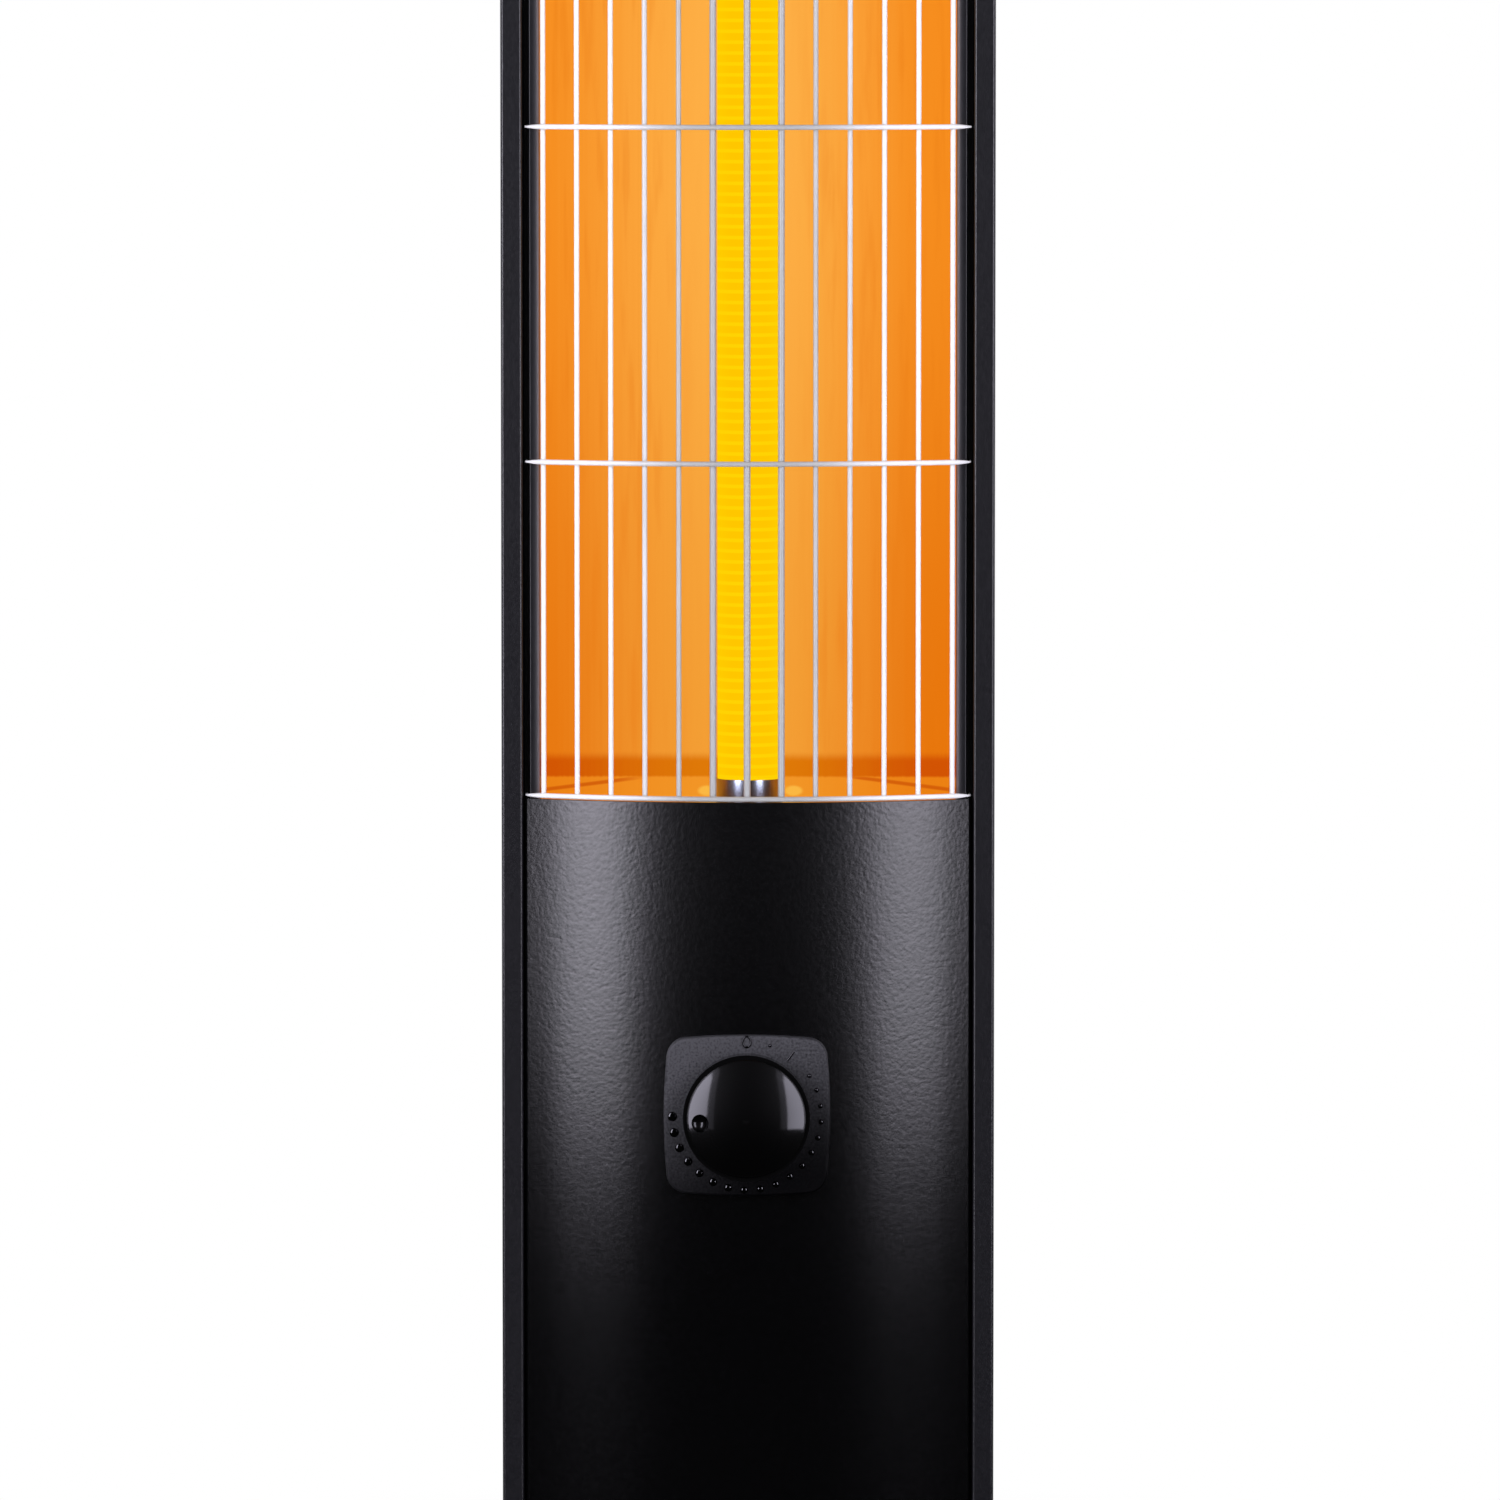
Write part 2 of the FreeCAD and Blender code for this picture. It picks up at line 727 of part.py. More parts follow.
def rear_casing():
    """One extrusion: flat back and sides, and a grooved rail along each front edge."""
    body = new_body("rear_casing")
    right = [
        ("half_width", "back_y"),
        ("half_width", "rail_y"),
        ("half_width - rail_width", "rail_y"),
        ("half_width - rail_width", "rail_y + groove_depth"),
        ("groove_x", "rail_y + groove_depth"),
        ("groove_x", "lip_y"),
        ("lip_x", "lip_y"),
        ("lip_x", "rail_y + rail_depth"),
        ("inner_x", "rail_y + rail_depth"),
        ("inner_x", "inner_back_y - port_boss"),
        ("inner_x - port_boss", "inner_back_y - port_boss"),
        ("inner_x - port_boss", "inner_back_y"),
    ]
    section = outline(sketch_on(body, "XY_Plane", "case_bottom_z"), mirrored(right))
    circles(section, corner_ports(), "port_diameter")
    shell = pad(body, section, "case_top_z - case_bottom_z")
    shell = round_edges(body, shell, upright_at(("half_width", "back_y"), ("half_width", "rail_y")),
                        "case_corner_radius")
    shell = round_edges(body, shell, upright_at(("half_width - rail_width", "rail_y")), "rail_edge_radius")
    shell = round_edges(body, shell, upright_at(("groove_x", "lip_y")), "lip_edge_radius")
    round_edges(body, shell, upright_at(("lip_x", "lip_y")), "lip_nose_radius")
    through = "case_wall + 2 * overrun"
    inside = "overrun - inner_back_y"
    holes = sketch_on(body, "XZ_Plane", inside)
    circles(holes, [("-block_x", "gland_z")], "gland_diameter + 2 * seat_gap")
    flange_screws = flange_screw_spots(LOWER_FLANGE_Z) + flange_screw_spots(UPPER_FLANGE_Z)
    circles(holes, flange_screws, "screw_diameter + 2 * screw_clearance")
    pocket(body, holes, through)
    for which in ("lower", "upper"):
        slot = outline(sketch_on(body, "XZ_Plane", inside), vent_slot(f"{which}_vent_z"))
        length = f"vent_pitch * ({which}_vent_count - 1)"
        rows(body, pocket(body, slot, through), "Z_Axis", length, f"{which}_vent_count")


def front_cover(label, low, height):
    """A bowed sheet whose side tongues slide in the rails' grooves."""
    body = new_body(label)
    right = [
        ("cover_inner", "cover_inner_y"),
        ("cover_inner", "rail_y + cover_tongue"),
        ("cover_half", "rail_y + cover_tongue"),
        ("cover_half", "rail_y"),
    ]
    corners = mirrored(right, ("cover_radius", -1), ("cover_inner_radius", 1))
    sheet_pad = pad(body, outline(sketch_on(body, "XY_Plane", low), corners), height)
    round_edges(body, sheet_pad, upright_at(("cover_half", "rail_y")), "cover_edge_radius")
    return body


def front_covers():
    """The upper cover is plain, the lower one is pierced for the regulator."""
    front_cover("upper_front_cover", "window_top_z", "upper_cover_height")
    body = front_cover("lower_front_cover", "case_bottom_z", "lower_cover_height")
    hole = sketch_on(body, "XZ_Plane", "overrun - nose_y")
    circles(hole, [("0", "dial_z")], "bush_diameter + 2 * fit_gap")
    pocket(body, hole, "cover_sheet + 3 * overrun")


def cap_outline(sketch):
    """The tower's plan: flat back and sides, and a front that bows over the covers."""
    right = [("half_width", "back_y"), ("half_width", "rail_y")]
    return outline(sketch, mirrored(right, ("cap_radius", -1)))


def top_cap():
    """A moulded lid, hollow below, whose pegs push into the casing's screw ports."""
    body = new_body("top_cap")
    lid = pad(body, cap_outline(sketch_on(body, "XY_Plane", "case_top_z")), "top_cap_height")
    lid = round_edges(body, lid, upright_at(("half_width", "back_y")), "case_corner_radius")
    round_edges(body, lid, level_at("case_top_z + top_cap_height"), "cap_edge_radius")
    low = "(rail_y + rail_depth)"
    high = "(inner_back_y - port_boss)"
    hollow = rectangle("lip_x", f"({high} - {low}) / 2", y=f"({high} + {low}) / 2")
    sketch = outline(sketch_on(body, "XY_Plane", "case_top_z - overrun"), hollow)
    pocket(body, sketch, "top_cap_height - cap_wall + overrun", forwards=True)
    pegs = circles(sketch_on(body, "XY_Plane", "case_top_z"), corner_ports(), "port_diameter - 2 * seat_gap")
    pad(body, pegs, "cap_peg", backwards=True)


def bottom_cap():
    """A flat plate that closes the casing and stands on the base."""
    body = new_body("bottom_cap")
    plate = cap_outline(sketch_on(body, "XY_Plane", "base_top_z"))
    circles(plate, corner_ports(), "screw_diameter + 2 * screw_clearance")
    circles(plate, [("tip_x", "tip_y")], "plunger_diameter + 2 * plunger_gap")
    pad(body, plate, "bottom_cap_thickness")


def foot_spots():
    """The four feet, as spots (x, y)."""
    x = "(base_width / 2 - foot_inset)"
    y = "(base_depth / 2 - foot_inset)"
    return [(f"{right} * {x}", f"{back} * {y}") for right in (1, -1) for back in (1, -1)]


def base():
    """An upturned steel tray on four rubber feet, screwed up into the tower."""
    body = new_body("base_plate")
    rim = rounded_rectangle("base_width / 2", "base_depth / 2", "base_corner_radius")
    tray = pad(body, outline(sketch_on(body, "XY_Plane", "foot_reveal"), rim), "base_height")
    round_edges(body, tray, level_at("base_top_z"), "base_edge_radius")
    hollow = rounded_rectangle("(base_width / 2 - base_wall)", "(base_depth / 2 - base_wall)",
                               "(base_corner_radius - base_wall)")
    sketch = outline(sketch_on(body, "XY_Plane", "foot_reveal - overrun"), hollow)
    pocket(body, sketch, "base_height - base_wall + overrun", forwards=True)
    holes = sketch_on(body, "XY_Plane", "base_top_z + overrun")
    circles(holes, corner_ports(), "screw_diameter + 2 * screw_clearance")
    circles(holes, [("tip_x", "tip_y")], "plunger_diameter + 2 * plunger_gap")
    circles(holes, foot_spots(), "foot_stem_diameter + 2 * seat_gap")
    pocket(body, holes, "base_wall + 2 * overrun")

    feet = new_body("rubber_feet")
    pad(feet, circles(sketch_on(feet), foot_spots(), "foot_diameter"), "base_top_z - base_wall")
    stems = circles(sketch_on(feet, "XY_Plane", "base_top_z - base_wall"), foot_spots(), "foot_stem_diameter")
    pad(feet, stems, "base_wall")
    screws("base_screws", "XY_Plane", "base_top_z - base_wall", corner_ports(), "base_screw_grip", False)


def guard_grille():
    """Upright wires welded behind bowed cross wires, whose ends hook into the rails' grooves."""
    body = new_body("guard_grille")
    path = sketch_on(body, "XY_Plane", "first_wire_z")
    right = [("leg_x", "leg_y"), ("leg_x", "elbow_y", "wire_elbow_radius", -1),
             ("bow_x", "bow_y", "guard_radius", -1)]
    left = [("-bow_x", "bow_y", "wire_elbow_radius", -1), ("-leg_x", "elbow_y"), ("-leg_x", "leg_y")]
    outline(path, right + left, closed=False)
    ring = circles(sketch_on(body, "XZ_Plane", "-leg_y"), [("leg_x", "first_wire_z")], "wire_diameter")
    cross_wire = body.newObject("PartDesign::AdditivePipe", "CrossWire")
    cross_wire.Profile = ring
    cross_wire.Spine = (path, [f"Edge{index + 1}" for index in range(path.GeometryCount)])
    rows(body, cross_wire, "Z_Axis", "guard_height", "bay_count + 1")

    wires = sketch_on(body, "XY_Plane", "window_bottom_z + wire_end_gap + upright_cut")
    count = int(value("wire_count"))
    spots = []
    for index in range(count):
        x = f"(wire_pitch * {index - (count - 1) / 2})"
        spots.append((x, f"cover_axis_y - sqrt(upright_radius ^ 2 - {x} ^ 2)"))
    pad(body, circles(wires, spots, "wire_diameter"), "guard_height + wire_diameter - 2 * upright_cut")


def reflector():
    """A bright bowed sheet behind the tube, set between the rails' lips."""
    body = new_body("reflector")
    right = [
        ("reflector_inner", "reflector_inner_y"),
        ("reflector_inner", "reflector_y"),
        ("lip_x", "reflector_y"),
        ("lip_x", "reflector_bend_y"),
    ]
    corners = mirrored(right, ("reflector_radius", 1), ("reflector_inner_radius", -1))
    pad(body, outline(sketch_on(body, "XY_Plane", "floor_z"), corners), "ceiling_z - floor_z")


def end_plate(label, face_z, flange_z, downwards):
    """A plate across the casing at one end of the window, with a flange on the back wall."""
    body = new_body(label)
    right = [
        ("flange_x", "inner_back_y"),
        ("flange_x", "inner_back_y - port_boss - fit_gap"),
        ("plate_x", "inner_back_y - port_boss - fit_gap"),
        ("plate_x", "rail_y + rail_depth + fit_gap"),
        ("plate_neck_x", "rail_y + rail_depth + fit_gap"),
        ("plate_neck_x", "plate_nose_y"),
    ]
    plan = outline(sketch_on(body, "XY_Plane", face_z), mirrored(right, ("plate_radius", -1)))
    circles(plan, [("0", "tube_y")], "ferrule_diameter + 2 * fit_gap")
    circles(plan, [("-lead_x", "lead_y")], "lead_hole_diameter")
    socket_screws = [(f"{side} * socket_screw_radius", "tube_y") for side in (1, -1)]
    circles(plan, socket_screws, "screw_diameter + 2 * screw_clearance")
    pad(body, plan, "end_plate_sheet", downwards)
    strip = rectangle("flange_x", "end_plate_sheet / 2", y="inner_back_y - end_plate_sheet / 2")
    pad(body, outline(sketch_on(body, "XY_Plane", face_z), strip), "end_plate_flange", downwards)
    holes = sketch_on(body, "XZ_Plane", "overrun + end_plate_sheet - inner_back_y")
    circles(holes, flange_screw_spots(flange_z), "screw_diameter + 2 * screw_clearance")
    pocket(body, holes, "end_plate_sheet + 2 * overrun")


def tube_end(end, at, turn):
    """Ferrule, terminal pin and ceramic socket at one end of the tube, measured from the window side."""
    bore = "tube_diameter / 2 + seat_gap"
    skin = "ferrule_diameter / 2"
    pin_hole = "pin_diameter / 2 + seat_gap"
    turned(f"{end}_ferrule", [
        (pin_hole, "-ferrule_end"), (skin, "-ferrule_end"), (skin, "ferrule_show"),
        (bore, "ferrule_show"), (bore, "-pin_seat"), (pin_hole, "-pin_seat"),
    ], at, turn)

    head = "tube_diameter / 2 - tube_wall - fit_gap"
    pin = "pin_diameter / 2"
    turned(f"{end}_terminal_pin", [
        ("0", "-pin_tip"), (pin, "-pin_tip"), (pin, "-pin_seat"),
        (head, "-pin_seat"), (head, "-pin_face"), ("0", "-pin_face"),
    ], at, turn)

    low = "-(end_plate_sheet + socket_height)"
    nest = "ferrule_diameter / 2 + fit_gap"
    socket = turned(f"{end}_tube_socket", [
        (pin_hole, low), ("socket_diameter / 2", low), ("socket_diameter / 2", "-end_plate_sheet"),
        (nest, "-end_plate_sheet"), (nest, "-ferrule_end"), (pin_hole, "-ferrule_end"),
    ], at, turn)
    spots = [(f"{side} * socket_screw_radius", "0") for side in (1, -1)]
    holes = circles(sketch_on(socket, "XY_Plane", "overrun - end_plate_sheet"), spots,
                    "screw_diameter + 2 * screw_clearance")
    pocket(socket, holes, "socket_height + 2 * overrun")

    fixings = screws(f"{end}_socket_screws", "XY_Plane", low, spots, "socket_height + end_plate_sheet", False)
    place(fixings, at, turn)


def heating_tube():
    """The quartz tube with its wound element, held at both ends."""
    tube_end("lower", ("0", "tube_y", "floor_z"), UPRIGHT)
    tube_end("upper", ("0", "tube_y", "ceiling_z"), UPSIDE_DOWN)
    glass = tube_profile("tube_diameter / 2 - tube_wall", "tube_diameter / 2",
                         "floor_z - pin_seat", "ceiling_z + pin_seat")
    turned("quartz_tube", glass, ("0", "tube_y", "0"))
    winding("heating_coil", value("coil_diameter"), value("coil_wire"), int(value("coil_turns")),
            value("floor_z - pin_face"), value("ceiling_z + pin_face"), point(("0", "tube_y", "0")))


def dial_plate():
    """A plate with softly bowed sides behind the knob, hollowed at the back to sit on the cover."""
    body = new_body(at=("0", "nose_y", "dial_z"), turn=FRONTWARDS)
    side_bow = "(dial_half_y ^ 2 + dial_crown ^ 2) / (2 * dial_crown)"
    level_bow = "(dial_half_x ^ 2 + dial_crown ^ 2) / (2 * dial_crown)"
    corners = [
        ("dial_half_x", "-dial_half_y", side_bow, 1), ("dial_half_x", "dial_half_y", level_bow, 1),
        ("-dial_half_x", "dial_half_y", side_bow, 1), ("-dial_half_x", "-dial_half_y", level_bow, 1),
    ]
    slab = pad(body, outline(sketch_on(body, "XY_Plane", "-dial_reach"), corners),
               "dial_thickness + dial_reach")
    corner_edges = upright_at(("dial_half_x", "dial_half_y"), ("dial_half_x", "-dial_half_y"))
    slab = round_edges(body, slab, corner_edges, "dial_corner_radius")
    round_edges(body, slab, level_at("dial_thickness"), "dial_edge_radius")
    above = "dial_thickness + overrun"
    recess = circles(sketch_on(body, "XY_Plane", above), [("0", "0")], "dial_recess_diameter")
    pocket(body, recess, "dial_thickness - dial_floor + overrun")
    hole = circles(sketch_on(body, "XY_Plane", above), [("0", "0")], "bush_diameter + 2 * fit_gap")
    pocket(body, hole, "dial_thickness + dial_reach + 2 * overrun")
    cover = rod("2 * (cover_radius + seat_gap)", "dial_height + 2 * overrun",
                ("0", "cover_axis_y", "dial_z - dial_height / 2 - overrun"))
    cut(body, cover, label="dial_plate")


def knob():
    """A domed cap on a wider skirt, with a pointer dimple near the cap's edge."""
    rim = "knob_diameter / 2"
    cap = "knob_cap_diameter / 2"
    inside = "knob_diameter / 2 - knob_wall"
    bore = "shaft_diameter / 2 + seat_gap"
    bore_end = "shaft_in_knob + fit_gap"
    hub = "knob_hub_diameter / 2"
    roof = "knob_shoulder - knob_face"
    profile = [
        (rim, "0"), (rim, "knob_skirt"), (cap, "knob_skirt"),
        (cap, "knob_shoulder - knob_edge_radius", "knob_edge_radius", 1),
        ("knob_face_radius", "knob_shoulder", "knob_dome_radius", 1), ("0", "knob_height"),
        ("0", bore_end), (bore, bore_end), (bore, "0"),
        (hub, "0"), (hub, roof), (inside, roof), (inside, "0"),
    ]
    at = ("0", "knob_y", "dial_z")
    body = turned(None, profile, at, FRONTWARDS)
    ball = doc.addObject("Part::Sphere", "Dimple")
    bind(ball, Radius="pointer_ball")
    place(ball, ("pointer_radius * sin(pointer_angle)",
                 "knob_y - pointer_rise - pointer_ball + pointer_depth",
                 "dial_z + pointer_radius * cos(pointer_angle)"))
    cut(body, ball, label="knob")


def hexagon_nut(label, width, thickness, hole, at, turn):
    """A six-sided nut with a plain hole."""
    prism = doc.addObject("Part::Prism", "Prism")
    prism.Polygon = 6
    bind(prism, Circumradius=f"({width}) / sqrt(3)", Height=thickness)
    place(prism, at, turn)
    return cut(prism, rod(hole, thickness, at, turn), label=label)


def regulator():
    """The heat regulator on its bracket behind the cover, with the shaft that the knob turns."""
    bush = rod("bush_diameter", "bracket_back_y - nose_y + nut_front",
               ("0", "bracket_back_y", "dial_z"), FRONTWARDS)
    case = block(("regulator_width", "regulator_depth", "regulator_height"),
                 ("-regulator_width / 2", "bracket_back_y", "dial_z - regulator_height / 2"))
    bore_y = "(bracket_back_y + shaft_in_body + fit_gap)"
    bore = rod("shaft_diameter + 2 * running_gap", f"{bore_y} - nose_y + nut_front + overrun",
               ("0", bore_y, "dial_z"), FRONTWARDS)
    cut(joined("Fuse", case, bush), bore, label="regulator_body")
    hexagon_nut("regulator_nut", "nut_width", "nut_thickness", "bush_diameter + 2 * running_gap",
                ("0", "nose_y - dial_floor", "dial_z"), FRONTWARDS)

    shaft_end_y = "(knob_y - shaft_in_knob)"
    shaft = rod("shaft_diameter", f"bracket_back_y + shaft_in_body - {shaft_end_y}",
                ("0", "bracket_back_y + shaft_in_body", "dial_z"), FRONTWARDS)
    flat_z = "dial_z + shaft_diameter / 2 - shaft_flat"
    flat = block(("shaft_diameter", "shaft_in_knob + overrun", "shaft_flat"),
                 ("-shaft_diameter / 2", f"{shaft_end_y} - overrun", flat_z))
    cut(shaft, flat, label="regulator_shaft")

    front_y = "nose_y + cover_sheet"
    low_z = "dial_z - bracket_height / 2"
    plate = block(("bracket_width", "bracket_depth", "bracket_height"),
                  ("-bracket_width / 2", front_y, low_z))
    relief = block(("bracket_width - 2 * bracket_foot", "bracket_depth - bracket_sheet + overrun",
                    "bracket_height + 2 * overrun"),
                   ("bracket_foot - bracket_width / 2", f"{front_y} - overrun", f"{low_z} - overrun"))
    hole = rod("bush_diameter + 2 * fit_gap", "bracket_depth + 2 * overrun",
               ("0", "bracket_back_y + overrun", "dial_z"), FRONTWARDS)
    inside = rod("2 * (cover_inner_radius - bracket_gap)", "bracket_height", ("0", "cover_axis_y", low_z))
    node(joined("Common", cut(plate, relief, hole), inside), "regulator_bracket")

    tabs = []
    for side in (1, -1):
        corner = (f"{side} * tab_spread - tab_sheet / 2", "bracket_back_y + regulator_depth",
                  "dial_z - tab_width / 2")
        tabs.append(block(("tab_sheet", "tab_length", "tab_width"), corner))
    group("regulator_tabs", tabs)


def terminal_block():
    """The block that takes the mains cord's wires, with its clamp screws and fixing screws."""
    front_y = "(inner_back_y - block_depth)"
    body = block(("block_width", "block_depth", "block_height"),
                 ("-block_x - block_width / 2", front_y, "block_z - block_height / 2"))
    clamp_z = "block_z + block_height / 4"
    fixing_z = "block_z - block_height / 4"
    holes = []
    clamps = []
    for step in (-1, 0, 1):
        x = f"{step} * entry_pitch - block_x"
        holes.append(rod("entry_diameter", "entry_depth + overrun",
                         (x, "entry_y", "block_top_z - entry_depth")))
        holes.append(rod("clamp_diameter", "clamp_depth + overrun",
                         (x, f"{front_y} + clamp_depth", clamp_z), FRONTWARDS))
        clamps.append(rod("clamp_diameter - 2 * seat_gap", "clamp_depth - clamp_recess",
                          (x, f"{front_y} + clamp_depth", clamp_z), FRONTWARDS))
    fixings = [(f"{side} * entry_pitch / 2 - block_x", fixing_z) for side in (1, -1)]
    for x, z in fixings:
        holes.append(rod("screw_diameter + 2 * screw_clearance", "block_depth + 2 * overrun",
                         (x, "inner_back_y + overrun", z), FRONTWARDS))
    cut(body, *holes, label="terminal_block")
    group("terminal_screws", clamps)
    screws("block_screws", "XZ_Plane", f"-{front_y}", fixings, "block_depth", True)


def cord_gland():
    """The bush in the back wall where a mains cord comes in, with its nut inside."""
    bore = "gland_bore / 2"
    neck = "gland_diameter / 2"
    rim = "gland_flange_diameter / 2"
    turned("cord_gland", [
        (bore, "-gland_length"), (neck, "-gland_length"), (neck, "0"), (rim, "0"),
        (rim, "gland_flange"), (bore, "gland_flange"),
    ], ("-block_x", "back_y", "gland_z"), BACKWARDS)
    hexagon_nut("gland_nut", "gland_nut_width", "gland_nut_thickness", "gland_diameter + 2 * seat_gap",
                ("-block_x", "inner_back_y - gland_nut_thickness", "gland_z"), BACKWARDS)


def overheat_cutout():
    """A disc thermostat under the lower end plate."""
    rim = "cutout_diameter / 2"
    neck = "(cutout_diameter / 2 * cutout_neck_share)"
    step = "cutout_height / 2"
    turned("overheat_cutout", [
        ("0", "0"), (rim, "0"), (rim, step), (neck, step), (neck, "cutout_height"), ("0", "cutout_height"),
    ], ("-cutout_x", "cutout_y", "floor_z - end_plate_sheet"), UPSIDE_DOWN)


def tip_switch():
    """The tip-over switch: standing on the floor presses its plunger up against a spring."""
    case = block(("tip_width", "tip_depth", "tip_top_z - case_bottom_z"),
                 ("tip_x - tip_width / 2", "tip_y - tip_depth / 2", "case_bottom_z"))
    chamber_z = "(case_bottom_z + tip_wall)"
    chamber = rod("tip_bore", f"tip_ceiling_z - {chamber_z}", ("tip_x", "tip_y", chamber_z))
    mouth = rod("plunger_diameter + 2 * plunger_gap", "tip_wall + 2 * overrun",
                ("tip_x", "tip_y", "case_bottom_z - overrun"))
    cut(case, chamber, mouth, label="tip_switch_body")
    stem = "plunger_diameter / 2"
    collar = "plunger_collar_diameter / 2"
    turned("tip_plunger", [
        ("0", "0"), (stem, "0"), (stem, "collar_z"), (collar, "collar_z"),
        (collar, "spring_z"), ("0", "spring_z"),
    ], ("tip_x", "tip_y", "0"))
    winding("tip_spring", value("spring_diameter"), value("spring_wire"), int(value("spring_turns")),
            value("spring_z"), value("tip_ceiling_z"), point(("tip_x", "tip_y", "0")))


def leads():
    """The inner wires: block to switch, switch to cut-out, cut-out to regulator, and both tube ends."""
    entry_z = "block_top_z - entry_depth"
    lead("upper_lead", [
        ("0", "tube_y", "ceiling_z + pin_tip"),
        ("0", "tube_y", "ceiling_z + pin_tip + lead_bend"),
        ("-lead_x", "lead_y", "ceiling_z + pin_tip + lead_bend"),
        ("-lead_x", "lead_y", "block_top_z + 2 * lead_bend"),
        ("-block_x - entry_pitch", "entry_y", "block_top_z + lead_bend"),
        ("-block_x - entry_pitch", "entry_y", entry_z),
    ])
    lead("lower_lead", [
        ("0", "tube_y", "floor_z - pin_tip"),
        ("0", "tube_y", "floor_z - pin_tip - lead_bend"),
        ("tab_spread", "tab_tip_y + lead_bend", "dial_z + lead_bend"),
        ("tab_spread", "tab_tip_y + lead_bend", "dial_z"),
        ("tab_spread", "tab_tip_y", "dial_z"),
    ])
    lead("cutout_lead", [
        ("-tab_spread", "tab_tip_y", "dial_z"),
        ("-tab_spread", "tab_tip_y + lead_bend", "dial_z"),
        ("-tab_spread", "tab_tip_y + lead_bend", "dial_z + lead_bend"),
        ("-cutout_x - cutout_spread", "cutout_y", "cutout_z - lead_bend"),
        ("-cutout_x - cutout_spread", "cutout_y", "cutout_z"),
    ])
    lead("switch_lead", [
        ("cutout_spread - cutout_x", "cutout_y", "cutout_z"),
        ("cutout_spread - cutout_x", "cutout_y", "cutout_z - lead_bend"),
        ("tip_x + tip_spread", "cutout_y + lead_bend / 2", "block_top_z + lead_bend"),
        ("tip_x + tip_spread", "tip_y", "tip_top_z + lead_bend"),
        ("tip_x + tip_spread", "tip_y", "tip_top_z"),
    ])
    lead("block_lead", [
        ("tip_x - tip_spread", "tip_y", "tip_top_z"),
        ("tip_x - tip_spread", "tip_y", "tip_top_z + lead_bend"),
        ("tip_x / 2", "(tip_y + entry_y) / 2", "block_z"),
        ("0", "entry_y", "block_top_z + lead_bend"),
        ("entry_pitch - block_x", "entry_y", "block_top_z + lead_bend"),
        ("entry_pitch - block_x", "entry_y", entry_z),
    ])


rear_casing()
front_covers()
top_cap()
bottom_cap()
base()
guard_grille()
reflector()
end_plate("lower_end_plate", "floor_z", LOWER_FLANGE_Z, True)
end_plate("upper_end_plate", "ceiling_z", UPPER_FLANGE_Z, False)
screws("end_plate_screws", "XZ_Plane", "-back_y",
       flange_screw_spots(LOWER_FLANGE_Z) + flange_screw_spots(UPPER_FLANGE_Z), "flange_screw_grip", False)
heating_tube()
dial_plate()
knob()
regulator()
terminal_block()
cord_gland()
overheat_cutout()
tip_switch()
leads()
doc.recompute()

for item in doc.Objects:
    if "Invalid" in item.State or "Error" in item.State:
        raise ValueError(f"{item.Label} ({item.Name}) failed: {item.State}")
for item in nodes:
    if item.Shape.isNull() or not item.Shape.isValid():
        raise ValueError(f"{item.Label} has no valid shape")
for item in nodes:
    item.Shape.exportStep(f"parts/{item.Label}.step")
    print(item.Label, len(item.Shape.Solids), round(item.Shape.Volume))
print(len(nodes), "sub-parts")
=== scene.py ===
# %% [markdown]
# A free-standing tower heater, dressed for a studio picture. The real thing is a tall extruded
# casing with a bowed front: a wire guard over a glowing quartz tube in a bright reflector, and
# a black cover below with one heat knob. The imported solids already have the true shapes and
# places, so this lesson loads them as a fixed frame, gives every surface a finish, and rebuilds
# only the pieces whose small forms catch the light.

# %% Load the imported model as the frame
import json
import math

import bmesh
import bpy
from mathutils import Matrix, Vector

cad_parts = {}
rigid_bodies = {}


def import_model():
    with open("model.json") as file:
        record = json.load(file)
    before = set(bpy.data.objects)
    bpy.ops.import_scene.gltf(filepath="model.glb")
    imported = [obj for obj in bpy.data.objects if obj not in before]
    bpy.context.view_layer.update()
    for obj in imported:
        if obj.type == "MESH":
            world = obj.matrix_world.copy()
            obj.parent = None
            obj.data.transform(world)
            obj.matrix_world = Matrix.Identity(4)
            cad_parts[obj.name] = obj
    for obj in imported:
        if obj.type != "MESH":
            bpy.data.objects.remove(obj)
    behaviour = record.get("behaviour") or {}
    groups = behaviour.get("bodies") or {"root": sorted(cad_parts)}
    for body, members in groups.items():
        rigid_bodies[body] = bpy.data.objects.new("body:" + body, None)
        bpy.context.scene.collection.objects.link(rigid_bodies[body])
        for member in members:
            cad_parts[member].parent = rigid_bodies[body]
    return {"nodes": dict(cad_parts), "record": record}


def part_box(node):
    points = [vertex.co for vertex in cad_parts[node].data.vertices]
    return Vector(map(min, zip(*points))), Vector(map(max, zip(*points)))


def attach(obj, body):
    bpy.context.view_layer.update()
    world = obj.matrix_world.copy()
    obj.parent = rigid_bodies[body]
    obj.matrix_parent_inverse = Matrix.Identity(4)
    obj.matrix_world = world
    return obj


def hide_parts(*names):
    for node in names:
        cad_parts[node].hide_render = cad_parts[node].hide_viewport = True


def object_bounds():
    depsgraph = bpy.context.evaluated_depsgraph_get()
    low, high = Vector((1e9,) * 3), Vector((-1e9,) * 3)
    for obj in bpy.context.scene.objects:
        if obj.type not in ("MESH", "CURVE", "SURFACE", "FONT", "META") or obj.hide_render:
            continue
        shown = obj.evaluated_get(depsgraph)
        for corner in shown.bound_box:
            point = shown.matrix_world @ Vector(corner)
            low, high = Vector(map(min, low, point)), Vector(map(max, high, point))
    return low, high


for leftover in list(bpy.data.objects):
    bpy.data.objects.remove(leftover)
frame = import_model()
cad_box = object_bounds()
bpy.context.scene.view_settings.view_transform = "Standard"
MM = 0.001
extent = [round(side, 4) for side in cad_box[1] - cad_box[0]]
